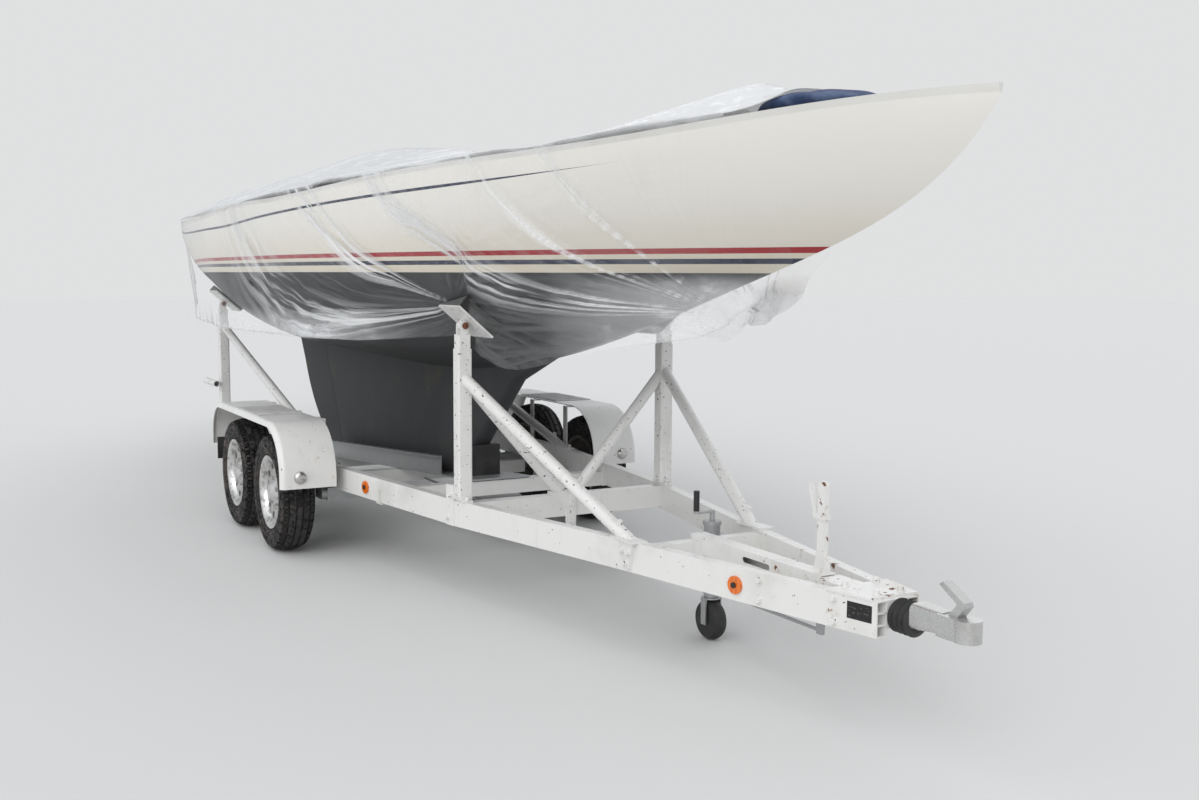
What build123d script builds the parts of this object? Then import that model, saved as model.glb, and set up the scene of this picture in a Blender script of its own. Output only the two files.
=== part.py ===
"""Long-keeled racing keelboat under a clear film cover, on its twin-axle road trailer.

Millimetres. +X points to the bow, +Y to port, +Z up. The origin is on the ground,
below the middle of the boat's length.
"""
import os
from math import atan2, cos, degrees, hypot, radians, sin, tan

from build123d import *

os.makedirs("parts", exist_ok=True)

# Hull shell
SKIN = 28.0
DECK = 24.0
DECK_CAMBER = 0.062
TRANSOM_LOW = (-4080.0, 1440.0)
TRANSOM_TOP = (-4435.0, 1800.0)
HOLLOW_AFT = -4030.0

# Hull stations: x, half breadth, sheer height, keel line height, then the two inner
# control points of the half section as shares of its breadth and its depth
STATIONS = (
    (4449.0, 8.0, 1824.0, 1792.0, 0.45, 0.30, 0.85, 0.65),
    (4360.0, 66.0, 1822.0, 1694.0, 0.42, 0.28, 0.82, 0.62),
    (4120.0, 176.0, 1817.0, 1539.0, 0.40, 0.24, 0.80, 0.60),
    (3600.0, 365.0, 1788.0, 1366.0, 0.42, 0.17, 0.84, 0.56),
    (2840.0, 595.0, 1753.0, 1168.0, 0.47, 0.09, 0.92, 0.50),
    (1900.0, 787.0, 1727.0, 964.0, 0.52, 0.05, 0.97, 0.44),
    (700.0, 915.0, 1688.0, 872.0, 0.55, 0.05, 1.00, 0.40),
    (-500.0, 920.0, 1660.0, 888.0, 0.56, 0.05, 1.01, 0.40),
    (-1600.0, 806.0, 1673.0, 1016.0, 0.56, 0.09, 1.01, 0.42),
    (-2100.0, 722.0, 1690.0, 1060.0, 0.56, 0.10, 1.01, 0.43),
    (-2600.0, 628.0, 1710.0, 1102.0, 0.56, 0.10, 1.01, 0.44),
    (-3100.0, 534.0, 1729.0, 1182.0, 0.56, 0.10, 1.01, 0.45),
    (-3600.0, 440.0, 1749.0, 1296.0, 0.56, 0.11, 1.01, 0.46),
    (-4050.0, 352.0, 1766.0, 1424.0, 0.56, 0.12, 1.01, 0.47),
    (-4500.0, 262.0, 1786.0, 1562.0, 0.56, 0.12, 1.01, 0.48),
)

# Keel: rows of height, leading edge x, half thickness; the trailing edge is the rudder's hinge line
KEEL_ROWS = (
    (180.0, 1236.0, 78.0),
    (380.0, 1243.0, 78.0),
    (520.0, 1262.0, 74.0),
    (680.0, 1452.0, 68.0),
    (860.0, 1668.0, 62.0),
    (1020.0, 2110.0, 56.0),
)
# Half section of the keel: share of the chord from the leading edge, share of the half thickness
KEEL_FLANK = ((0.12, 0.87), (0.30, 1.0), (0.52, 0.96), (0.76, 0.68))
KEEL_NOSE = 0.62
KEEL_TOE = (1243.0, 369.0)
KEEL_HEEL = (-860.0, 217.0)
KEEL_TAIL = 26.0
BALLAST_TOP = 560.0

# Rudder hinge line and blade
HINGE_LOW = (-860.0, 240.0)
HINGE_HIGH = (-1300.0, 1060.0)
RUDDER_THICK = 44.0
RUDDER_NOSE = 24.0
RUDDER_GAP = 6.0
RUDDER_TOP_GAP = 27.0
RUDDER_LOW = 245.0
RUDDER_HEEL = (-1085.0, 262.0)
RUDDER_BELLY = (-1462.0, 492.0)
RUDDER_WAIST = (-1656.0, 750.0)
RUDDER_TIP_X = -1836.0
STOCK_R = 19.0
STOCK_FIT = 0.05
STOCK_TOP = 1500.0
TILLER_LENGTH = 620.0
TILLER_DEPTH = 42.0
TILLER_WIDTH = 30.0

# Cockpit, cuddy and coaming
COCKPIT_FORE = 450.0
COCKPIT_AFT = -2050.0
COCKPIT_HALF_FORE = 400.0
COCKPIT_HALF_MID = 455.0
COCKPIT_HALF_AFT = 330.0
SOLE_TOP = 1255.0
TUB_WALL = 12.0
COAMING_TOP = 1800.0
COAMING_WALL = 16.0
COAMING_FORE = -260.0
CUDDY_WALL = 14.0
# Cuddy stations: x, half width at the deck, crown height
CUDDY = (
    (1120.0, 260.0, 1770.0),
    (650.0, 360.0, 1835.0),
    (180.0, 420.0, 1880.0),
    (-220.0, 430.0, 1895.0),
)

# Flat plate for the heel of the mast, on the crown of the deck
MAST_X = 1600.0
MAST_PLATE_LONG, MAST_PLATE_WIDE = 200.0, 120.0
MAST_PLATE_TOP = 1784.0

# Boom stowed above the cockpit, with its crutch
BOOM_R = 30.0
BOOM_FORE = (-60.0, 1995.0)
BOOM_AFT = (-3900.0, 1900.0)
CRUTCH_X = -3650.0
CRUTCH_THICK = 30.0
CRUTCH_WIDTH = 60.0
CRUTCH_FOOT_WIDTH, CRUTCH_FOOT_TOP = 240.0, 1805.0
CRUTCH_DEEP = 1650.0
# How far the arms of the crutch end below the boom's axis
CRUTCH_SEAT = 8.0

# Film cover: thickness, distance off the hull, and its line between deck and curtain below the sheer
FILM = 3.0
FILM_OFF = 2.5
FILM_SHEER_DROP = 12.0
FILM_SKIRT = 60.0
# Film rows: x, height of the ridge, distance of the hem from the middle, height of the hem
FILM_ROWS = (
    (3700.0, 1880.0, 40.0, 1385.0),
    (3570.0, 1916.0, 170.0, 1150.0),
    (3370.0, 1950.0, 280.0, 1140.0),
    (3050.0, 1905.0, 430.0, 1065.0),
    (2780.0, 1862.0, 540.0, 1000.0),
    (2500.0, 1815.0, 570.0, 1050.0),
    (2260.0, 1800.0, 420.0, 1100.0),
    (1980.0, 1800.0, 420.0, 1085.0),
    (1720.0, 1832.0, 700.0, 1060.0),
    (1400.0, 1890.0, 770.0, 1050.0),
    (1000.0, 1946.0, 815.0, 1046.0),
    (600.0, 1988.0, 855.0, 1043.0),
    (50.0, 2032.0, 862.0, 1041.0),
    (-500.0, 2040.0, 865.0, 1040.0),
    (-950.0, 2031.0, 790.0, 1050.0),
    (-1200.0, 2014.0, 540.0, 1085.0),
    (-1500.0, 2004.0, 540.0, 1085.0),
    (-1750.0, 2003.0, 680.0, 1040.0),
    (-2300.0, 2000.0, 600.0, 1045.0),
    (-3100.0, 1976.0, 430.0, 1155.0),
    (-3900.0, 1942.0, 290.0, 1370.0),
    (-4270.0, 1870.0, 250.0, 1520.0),
)

# Blue tarpaulin bundle: x, half width, top height
BUNDLE = (
    (3975.0, 60.0, 1850.0),
    (3850.0, 120.0, 1885.0),
    (3650.0, 150.0, 1896.0),
    (3490.0, 70.0, 1860.0),
)

# Trailer frame
RAIL_TOP = 418.0
RAIL_HIGH = 106.0
RAIL_WIDE = 42.0
RAIL_WALL = 4.0
REAR_X = -1560.0
BEND_X, BEND_Y = 935.0, 661.0
POST_X, POST_RAIL_Y = 2117.0, 500.0
GUSSET_X, GUSSET_Y = 3110.0, 282.0
NOSE_X, NOSE_Y = 4134.0, 79.0
NOSE_RIB, NOSE_RIB_LONG = 5.0, 30.0

# Posts and pads
POST_SIZE = 60.0
POST_WALL = 4.0
FRONT_POST_Y = POST_RAIL_Y - RAIL_WIDE / 2
FRONT_POST_TOP = 1038.0
REAR_POST_X = -1350.0
REAR_POST_Y = BEND_Y - RAIL_WIDE / 2
REAR_POST_TOP = 1040.0
FOOT_PLATE = 8.0
BRACE_Z = 926.0

# Wheels and running gear
AXLES = (("front", 783.0), ("rear", 101.0))
HUB_Z = 286.0
TYRE_R = 286.0
TYRE_WIDE = 168.0
TYRE_FACE_Y = 935.0
RIM_R = 168.0
RIM_FLANGE_R = 177.5
STUB_R = 24.0
STUB_FIT = 0.05

SIDES = (("starboard", -1), ("port", 1))


def lerp(a, b, t):
    return a + (b - a) * t


def along(table, x, column):
    """Value of one column of a table sorted by falling x, between its rows."""
    for ahead, behind in zip(table, table[1:]):
        if behind[0] <= x <= ahead[0]:
            t = (ahead[0] - x) / (ahead[0] - behind[0])
            return lerp(ahead[column], behind[column], t)
    return table[0][column] if x > table[0][0] else table[-1][column]


def half_curve(row, grow=0.0):
    """The four Bezier points of a half section, from the keel line up to the sheer."""
    x, half, sheer, keel, in_y, in_z, out_y, out_z = row
    deep = sheer - keel
    reach = half + grow
    low = keel - grow
    return (
        (0.0, low),
        (half * in_y + grow * 0.45, low + deep * in_z),
        (half * out_y + grow, keel + deep * out_z - grow * 0.5),
        (reach, sheer),
    )


def station(row, grow=0.0):
    """Closed section of the hull at one station, with the deck's camber on top."""
    low, first, second, side = half_curve(row, grow)
    top = (side[0], side[1] + grow)
    crown = top[1] + DECK_CAMBER * row[1]
    with BuildSketch(Plane.YZ.offset(row[0])) as section:
        with BuildLine():
            Bezier(low, first, second, top)
            ThreePointArc(top, (0.0, crown), (-top[0], top[1]))
            Bezier((-top[0], top[1]), (-second[0], second[1]), (-first[0], first[1]), low)
        make_face()
    return section.sketch


# Lofted bodies that the real pieces are cut from
with BuildPart() as hull_body:
    for row in STATIONS:
        add(station(row))
    loft()
    rake = degrees(atan2(TRANSOM_TOP[1] - TRANSOM_LOW[1], TRANSOM_TOP[0] - TRANSOM_LOW[0]))
    transom = Plane(
        origin=(TRANSOM_LOW[0], 0, TRANSOM_LOW[1]),
        x_dir=(0, 1, 0),
        z_dir=(sin(radians(rake)), 0, -cos(radians(rake))),
    )
    split(bisect_by=transom, keep=Keep.TOP)


def underside(x, y):
    """Height of the hull's outer surface above the point x, y."""
    probe = Edge.make_line((x, y, 300.0), (x, y, 1600.0))
    return (hull_body.part & probe).bounding_box().min.Z


with BuildPart() as hull_hollow:
    for row in STATIONS[2:]:
        low, first, second, top = half_curve(row, -SKIN)
        lid = (top[0], row[2] + 300.0)
        with BuildSketch(Plane.YZ.offset(row[0])):
            with BuildLine():
                Bezier(low, first, second, top)
                Polyline(top, lid, (-lid[0], lid[1]), (-top[0], top[1]))
                Bezier((-top[0], top[1]), (-second[0], second[1]), (-first[0], first[1]), low)
            make_face()
    loft()
    split(bisect_by=Plane.YZ.offset(HOLLOW_AFT), keep=Keep.TOP)

with BuildPart() as above_deck:
    for row in STATIONS:
        half = row[1] + 40.0
        edge = row[2] - DECK
        crown = edge + DECK_CAMBER * row[1]
        with BuildSketch(Plane.YZ.offset(row[0])):
            with BuildLine():
                ThreePointArc((-half, edge), (0.0, crown), (half, edge))
                Polyline((half, edge), (half, 2400.0), (-half, 2400.0), (-half, edge))
            make_face()
    loft()


def cockpit_outline(grow=0.0):
    """Plan of the cockpit opening: square at the bulkhead, rounded aft."""
    corner = COCKPIT_AFT + 160.0
    fore, aft = COCKPIT_FORE + grow, COCKPIT_AFT - grow
    front, middle, rear = (half + grow for half in (COCKPIT_HALF_FORE, COCKPIT_HALF_MID, COCKPIT_HALF_AFT))
    with BuildSketch() as outline:
        with BuildLine():
            Line((fore, -front), (fore, front))
            ThreePointArc((fore, front), (-500.0, middle), (corner, rear))
            ThreePointArc((corner, rear), (aft, 0.0), (corner, -rear))
            ThreePointArc((corner, -rear), (-500.0, -middle), (fore, -front))
        make_face()
    return outline.sketch


# Rudder axis
hinge_run = HINGE_HIGH[0] - HINGE_LOW[0]
hinge_rise = HINGE_HIGH[1] - HINGE_LOW[1]
hinge_length = hypot(hinge_run, hinge_rise)
HINGE_DIR = (hinge_run / hinge_length, 0.0, hinge_rise / hinge_length)


def hinge_x(z):
    return HINGE_LOW[0] + (z - HINGE_LOW[1]) * hinge_run / hinge_rise


def hinge_plane(z):
    return Plane(origin=(hinge_x(z), 0, z), x_dir=(0, 1, 0), z_dir=HINGE_DIR)


def hinge_span(z_low, z_high):
    return (z_high - z_low) * hinge_length / hinge_rise


# Hull: a shell with a tube for the rudder stock
with BuildPart() as hull:
    add(hull_body.part)
    add(hull_hollow.part, mode=Mode.SUBTRACT)
    add(above_deck.part, mode=Mode.SUBTRACT)
    with BuildSketch(hinge_plane(900.0)):
        Circle(STOCK_R + STOCK_FIT)
    extrude(amount=hinge_span(900.0, 1120.0), mode=Mode.SUBTRACT)
hull.part.label = "hull"
export_step(hull.part, "parts/hull.step")

with BuildPart() as deck:
    add(hull_body.part)
    add(above_deck.part, mode=Mode.INTERSECT)
    with BuildSketch(Plane.XY.offset(1500.0)):
        add(cockpit_outline())
    extrude(amount=500.0, mode=Mode.SUBTRACT)
deck.part.label = "deck"
export_step(deck.part, "parts/deck.step")

with BuildPart() as cockpit_tub:
    with BuildSketch(Plane.XY.offset(SOLE_TOP - TUB_WALL)):
        add(cockpit_outline(TUB_WALL))
    extrude(amount=700.0)
    with BuildSketch(Plane.XY.offset(SOLE_TOP)):
        add(cockpit_outline())
    extrude(amount=700.0, mode=Mode.SUBTRACT)
    add(above_deck.part, mode=Mode.SUBTRACT)
    with BuildSketch(hinge_plane(SOLE_TOP - 60.0)):
        Circle(STOCK_R + 3.0)
    extrude(amount=hinge_span(0.0, 120.0), mode=Mode.SUBTRACT)
cockpit_tub.part.label = "cockpit_tub"
export_step(cockpit_tub.part, "parts/cockpit_tub.step")

with BuildPart() as coaming:
    with BuildSketch(Plane.XY.offset(1560.0)):
        add(cockpit_outline(COAMING_WALL))
    extrude(amount=COAMING_TOP - 1560.0)
    with BuildSketch(Plane.XY.offset(1500.0)):
        add(cockpit_outline())
    extrude(amount=400.0, mode=Mode.SUBTRACT)
    add(hull_body.part, mode=Mode.SUBTRACT)
    split(bisect_by=Plane.YZ.offset(COAMING_FORE), keep=Keep.BOTTOM)
coaming.part.label = "coaming"
export_step(coaming.part, "parts/coaming.step")


def arch(x, half, crown, drop=260.0):
    """Closed arch section of the cuddy, running down past the deck."""
    base = crown - drop
    with BuildSketch(Plane.YZ.offset(x)) as section:
        with BuildLine():
            Line((-half, base), (half, base))
            Bezier((half, base), (half * 0.99, crown - 40.0), (half * 0.66, crown), (0.0, crown))
            Bezier((0.0, crown), (-half * 0.66, crown), (-half * 0.99, crown - 40.0), (-half, base))
        make_face()
    return section.sketch


cuddy_fore, cuddy_aft = CUDDY[0], CUDDY[-1]
with BuildPart() as cuddy_hollow:
    for x, half, crown in ((cuddy_fore[0] - CUDDY_WALL * 2, *cuddy_fore[1:]), *CUDDY[1:-1],
                           (cuddy_aft[0] - 1.0, *cuddy_aft[1:])):
        add(arch(x, half - CUDDY_WALL, crown - CUDDY_WALL, drop=300.0))
    loft()

with BuildPart() as cuddy:
    for x, half, crown in CUDDY:
        add(arch(x, half, crown))
    loft()
    add(cuddy_hollow.part, mode=Mode.SUBTRACT)
    add(hull_body.part, mode=Mode.SUBTRACT)
cuddy.part.label = "cuddy"
export_step(cuddy.part, "parts/cuddy.step")

with BuildPart() as mast_plate:
    with BuildSketch(Plane.XY.offset(MAST_PLATE_TOP)):
        with Locations((MAST_X, 0.0)):
            RectangleRounded(MAST_PLATE_LONG, MAST_PLATE_WIDE, 15.0)
    extrude(amount=-50.0)
    add(hull_body.part, mode=Mode.SUBTRACT)
mast_plate.part.label = "mast_plate"
export_step(mast_plate.part, "parts/mast_plate.step")

# Boom and crutch
boom_dir = (BOOM_AFT[0] - BOOM_FORE[0], 0.0, BOOM_AFT[1] - BOOM_FORE[1])
boom_length = hypot(boom_dir[0], boom_dir[2])
with BuildPart() as boom:
    with BuildSketch(Plane(origin=(BOOM_FORE[0], 0, BOOM_FORE[1]), x_dir=(0, 1, 0), z_dir=boom_dir)):
        Circle(BOOM_R)
    extrude(amount=boom_length)
boom.part.label = "boom"
export_step(boom.part, "parts/boom.step")

crutch_axis = lerp(BOOM_FORE[1], BOOM_AFT[1], (BOOM_FORE[0] - CRUTCH_X) / (BOOM_FORE[0] - BOOM_AFT[0]))
crutch_top = crutch_axis - CRUTCH_SEAT
with BuildPart() as boom_crutch:
    with BuildSketch(Plane.YZ.offset(CRUTCH_X - CRUTCH_THICK / 2)):
        with Locations((0.0, (crutch_top + CRUTCH_DEEP) / 2)):
            Rectangle(CRUTCH_WIDTH, crutch_top - CRUTCH_DEEP)
        with Locations((0.0, (CRUTCH_FOOT_TOP + CRUTCH_DEEP) / 2)):
            Rectangle(CRUTCH_FOOT_WIDTH, CRUTCH_FOOT_TOP - CRUTCH_DEEP)
    extrude(amount=CRUTCH_THICK)
    add(boom.part, mode=Mode.SUBTRACT)
    add(hull_body.part, mode=Mode.SUBTRACT)
boom_crutch.part.label = "boom_crutch"
export_step(boom_crutch.part, "parts/boom_crutch.step")

# Keel and ballast
with BuildPart() as keel_body:
    for z, lead, half in KEEL_ROWS:
        tail = hinge_x(z) + RUDDER_NOSE
        nose = half * KEEL_NOSE
        flank = [(lerp(lead, tail, aft), half * thick) for aft, thick in KEEL_FLANK]
        port = [(lead - nose, nose), *flank, (tail, KEEL_TAIL)]
        starboard = [(x, -y) for x, y in reversed(port)]
        with BuildSketch(Plane.XY.offset(z)):
            with BuildLine():
                ThreePointArc((lead - nose, -nose), (lead, 0.0), (lead - nose, nose))
                Polyline(*port, *starboard)
            make_face()
    loft(ruled=True)
    base_slope = (KEEL_TOE[1] - KEEL_HEEL[1]) / (KEEL_TOE[0] - KEEL_HEEL[0])
    sole = Plane(origin=(KEEL_TOE[0], 0, KEEL_TOE[1]), x_dir=(0, 1, 0), z_dir=(-base_slope, 0, 1))
    split(bisect_by=sole, keep=Keep.TOP)
    with BuildSketch(hinge_plane(100.0)):
        Circle(RUDDER_NOSE + RUDDER_GAP)
    extrude(amount=hinge_span(100.0, 1200.0), mode=Mode.SUBTRACT)
    add(hull_body.part, mode=Mode.SUBTRACT)

with BuildPart() as keel:
    add(keel_body.part)
    split(bisect_by=Plane.XY.offset(BALLAST_TOP), keep=Keep.TOP)
keel.part.label = "keel"
export_step(keel.part, "parts/keel.step")

with BuildPart() as ballast:
    add(keel_body.part)
    split(bisect_by=Plane.XY.offset(BALLAST_TOP), keep=Keep.BOTTOM)
ballast.part.label = "ballast"
export_step(ballast.part, "parts/ballast.step")

rudder_head = underside(hinge_x(950.0), 0.5) - RUDDER_TOP_GAP

# Rudder: blade with a half-round nose about its axis, and the stock in one piece with it
with BuildPart() as rudder:
    with BuildSketch(Plane.XZ.offset(-RUDDER_THICK / 2)):
        with BuildLine():
            root = (hinge_x(rudder_head), rudder_head)
            toe = (hinge_x(RUDDER_LOW), RUDDER_LOW)
            Polyline(toe, RUDDER_HEEL)
            ThreePointArc(RUDDER_HEEL, RUDDER_BELLY, RUDDER_WAIST)
            Polyline(RUDDER_WAIST, (RUDDER_TIP_X, underside(RUDDER_TIP_X, 0.5) - RUDDER_TOP_GAP), root, toe)
        make_face()
    extrude(amount=RUDDER_THICK)
    with BuildSketch(hinge_plane(RUDDER_LOW + 5.0)):
        Circle(RUDDER_NOSE)
    extrude(amount=hinge_span(RUDDER_LOW + 5.0, rudder_head - 10.0))
    with BuildSketch(hinge_plane(rudder_head - 60.0)):
        Circle(STOCK_R)
    extrude(amount=hinge_span(rudder_head - 60.0, STOCK_TOP))
rudder.part.label = "rudder"
export_step(rudder.part, "parts/rudder.step")

with BuildPart() as tiller:
    with BuildSketch(Plane(origin=(hinge_x(STOCK_TOP) - 40.0, 0, STOCK_TOP), x_dir=(0, 1, 0), z_dir=(1, 0, 0.05))):
        with Locations((0.0, TILLER_DEPTH / 2 + 1.0)):
            Rectangle(TILLER_WIDTH, TILLER_DEPTH)
    extrude(amount=TILLER_LENGTH)
    add(rudder.part, mode=Mode.SUBTRACT)
tiller.part.label = "tiller"
export_step(tiller.part, "parts/tiller.step")

# Blue tarpaulin folded on the foredeck
with BuildPart() as blue_tarpaulin:
    for x, half, top in BUNDLE:
        with BuildSketch(Plane.YZ.offset(x)):
            with Locations((0.0, top - 75.0)):
                Ellipse(half, 75.0)
    loft()
    add(hull_body.part, mode=Mode.SUBTRACT)
blue_tarpaulin.part.label = "blue_tarpaulin"
export_step(blue_tarpaulin.part, "parts/blue_tarpaulin.step")

# Film cover: one shell over the ridge and one curtain down each side, all clear of the hull
with BuildPart() as film_lining:
    for row in STATIONS:
        add(station(row, FILM_OFF))
    loft()

with BuildPart() as film_outside:
    for row in STATIONS:
        add(station(row, FILM_OFF + FILM))
    loft()


def film_beam(x):
    """Half breadth of the film's lining just below the sheer."""
    z = along(STATIONS, x, 2) - FILM_SHEER_DROP
    probe = Edge.make_line((x, 0.0, z), (x, 1200.0, z))
    return (film_lining.part & probe).bounding_box().max.Y


film_beams = [film_beam(row[0]) for row in FILM_ROWS]

# The top is a tent: straight falls from the ridge to the sheer, and a skirt that laps the topsides
with BuildPart() as film_top:
    for (x, ridge, _, _), inside in zip(FILM_ROWS, film_beams):
        outside = inside + FILM
        sheer = along(STATIONS, x, 2)
        low = sheer - FILM_SKIRT
        with BuildSketch(Plane.YZ.offset(x)):
            with BuildLine():
                Polyline((outside, low), (outside, sheer), (0.0, ridge), (-outside, sheer), (-outside, low),
                         (-inside, low), (-inside, sheer - FILM), (0.0, ridge - FILM), (inside, sheer - FILM),
                         (inside, low), close=True)
            make_face()
    loft(ruled=True)
    add(above_deck.part, mode=Mode.INTERSECT)
    add(film_lining.part, mode=Mode.SUBTRACT)
    for under in (deck, boom, coaming, cuddy, mast_plate, blue_tarpaulin):
        add(under.part, mode=Mode.SUBTRACT)
    split(bisect_by=Plane.XZ, keep=Keep.BOTTOM)
    mirror(about=Plane.XZ)
film_top.part.label = "film_top"
export_step(film_top.part, "parts/film_top.step")

# A curtain hangs straight from the sheer to its hem, or lies on the topside where that bulges further out
hangs = {}
for name, grow, drop in (("inner", 0.0, 60.0), ("outer", FILM, 0.0)):
    with BuildPart() as hang:
        for (x, _, hem_y, hem_z), beam in zip(FILM_ROWS, film_beams):
            edge, low = beam + grow, hem_y + grow
            lid = along(STATIONS, x, 2) + 30.0
            corners = [(low, hem_z), (edge, lid), (-edge, lid), (-low, hem_z)]
            if drop:
                corners += [(-low, hem_z - drop), (low, hem_z - drop)]
            with BuildSketch(Plane.YZ.offset(x)):
                with BuildLine():
                    Polyline(*corners, close=True)
                make_face()
        loft(ruled=True)
    hangs[name] = hang.part

# Trailer frame: the side rails follow one line in plan, from the tail to the nose
RAIL_LINE = (
    (REAR_X, BEND_Y),
    (BEND_X, BEND_Y),
    (POST_X, POST_RAIL_Y),
    (GUSSET_X, GUSSET_Y),
    (NOSE_X, NOSE_Y),
)
RAIL_LOW = RAIL_TOP - RAIL_HIGH


def rail_y(x):
    """Outer face of the frame at x, as a distance from the middle."""
    for behind, ahead in zip(RAIL_LINE, RAIL_LINE[1:]):
        if behind[0] <= x <= ahead[0]:
            return lerp(behind[1], ahead[1], (x - behind[0]) / (ahead[0] - behind[0]))
    return RAIL_LINE[-1][1]


def rail_plan(line, side, inset):
    """Plan of one rail between two offsets of its outer line."""
    outer = [(x, side * (y - inset)) for x, y in line]
    inner = [(x, side * (y - RAIL_WIDE + inset)) for x, y in reversed(line)]
    with BuildSketch() as plan:
        with BuildLine():
            Polyline(*outer, *inner, close=True)
        make_face()
    return plan.sketch


rail_envelopes = {}
for name, line in (("rails", RAIL_LINE[:4]), ("drawbars", RAIL_LINE[3:])):
    with BuildPart() as envelope:
        with BuildSketch(Plane.XY.offset(RAIL_LOW)):
            for side in (-1, 1):
                add(rail_plan(line, side, 0.0))
        extrude(amount=RAIL_HIGH)
    rail_envelopes[name] = envelope.part
    with BuildPart() as tubes:
        add(envelope.part)
        with BuildSketch(Plane.XY.offset(RAIL_LOW + RAIL_WALL)):
            for side in (-1, 1):
                add(rail_plan(line, side, RAIL_WALL))
        extrude(amount=RAIL_HIGH - 2 * RAIL_WALL, mode=Mode.SUBTRACT)
        if name == "drawbars":
            with BuildSketch(Plane.YZ.offset(NOSE_X - NOSE_RIB_LONG)):
                for side in (-1, 1):
                    for third in (1, 2):
                        with Locations((side * (NOSE_Y - RAIL_WIDE / 2), RAIL_LOW + RAIL_HIGH * third / 3)):
                            Rectangle(RAIL_WIDE + 6.0, NOSE_RIB)
            extrude(amount=NOSE_RIB_LONG)
            add(envelope.part, mode=Mode.INTERSECT)
    tubes.part.label = name
    export_step(tubes.part, f"parts/{name}.step")

# Box tube of the overrun gear, and the housing's length on the nose
TUBE_WIDE, TUBE_HIGH = 60.0, 62.0
TUBE_TOP = 424.0
SLOT_LONG, SLOT_HIGH = 150.0, 20.0
SLOT_FROM_HOUSING = 330.0
HOUSING_LONG = 309.0
HOUSING_AFT, HOUSING_FORE = NOSE_X - HOUSING_LONG, NOSE_X
HOUSING_HALF = 46.0
HOUSING_LOW = 336.0
PLATE_THICK = 8.0

# Cross beams: middle x, width, underside and top
CROSS_BEAMS = (
    (-1515.0, 50.0, 312.0, 372.0),
    (POST_X, 56.0, 320.0, 412.0),
    (GUSSET_X + 50.0, 50.0, 330.0, 410.0),
)
JOCKEY_BEAM_AFT = CROSS_BEAMS[2][0] - CROSS_BEAMS[2][1] / 2
TUBE_AFT = JOCKEY_BEAM_AFT - 25.0
with BuildPart() as cross_beams:
    for x, wide, low, top in CROSS_BEAMS:
        with BuildSketch(Plane.YZ.offset(x - wide / 2)):
            with Locations((0.0, (low + top) / 2)):
                Rectangle(2 * rail_y(x) - RAIL_WIDE, top - low)
        extrude(amount=wide)
        with BuildSketch(Plane.YZ.offset(x - wide / 2 + RAIL_WALL)):
            with Locations((0.0, (low + top) / 2)):
                Rectangle(2 * rail_y(x), top - low - 2 * RAIL_WALL)
        extrude(amount=wide - 2 * RAIL_WALL, mode=Mode.SUBTRACT)
    for envelope in rail_envelopes.values():
        add(envelope, mode=Mode.SUBTRACT)
    with BuildSketch(Plane.YZ.offset(TUBE_AFT)):
        with Locations((0.0, TUBE_TOP - TUBE_HIGH / 2)):
            Rectangle(TUBE_WIDE, TUBE_HIGH)
    extrude(amount=HOUSING_AFT - TUBE_AFT, mode=Mode.SUBTRACT)
cross_beams.part.label = "cross_beams"
export_step(cross_beams.part, "parts/cross_beams.step")

# Keel bed: a channel that follows the keel's base
BED_PLATE = 8.0
BED_WALL = 6.0
BED_HALF = 150.0
BED_AFT = -840.0
BED_FORE = 1460.0
WALL_FORE = 1070.0
WALL_HIGH = 92.0
LIP_WIDE = 28.0
bed_slope = degrees(atan2(KEEL_TOE[1] - KEEL_HEEL[1], KEEL_TOE[0] - KEEL_HEEL[0]))


def bed_z(x):
    """Top of the bed plate, which is the underside of the keel."""
    return KEEL_TOE[1] + (x - KEEL_TOE[0]) * tan(radians(bed_slope))


with BuildPart() as keel_bed:
    with BuildSketch(Plane.XZ.offset(-BED_HALF)):
        with BuildLine():
            Polyline((BED_AFT, bed_z(BED_AFT)), (BED_FORE, bed_z(BED_FORE)),
                     (BED_FORE, bed_z(BED_FORE) - BED_PLATE), (BED_AFT, bed_z(BED_AFT) - BED_PLATE),
                     close=True)
        make_face()
    extrude(amount=2 * BED_HALF)
    for side in (-1, 1):
        with BuildSketch(Plane.XZ.offset(side * BED_HALF)):
            with BuildLine():
                Polyline((BED_AFT, bed_z(BED_AFT) - BED_PLATE), (BED_AFT, bed_z(BED_AFT) + WALL_HIGH),
                         (WALL_FORE, bed_z(WALL_FORE) + WALL_HIGH), (WALL_FORE, bed_z(WALL_FORE) - BED_PLATE),
                         close=True)
            make_face()
        extrude(amount=-side * BED_WALL)
        with BuildSketch(Plane.XZ.offset(side * BED_HALF)):
            with BuildLine():
                Polyline((BED_AFT, bed_z(BED_AFT) + WALL_HIGH - BED_WALL), (BED_AFT, bed_z(BED_AFT) + WALL_HIGH),
                         (WALL_FORE, bed_z(WALL_FORE) + WALL_HIGH),
                         (WALL_FORE, bed_z(WALL_FORE) + WALL_HIGH - BED_WALL), close=True)
            make_face()
        extrude(amount=side * LIP_WIDE)
keel_bed.part.label = "keel_bed"
export_step(keel_bed.part, "parts/keel_bed.step")

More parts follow.
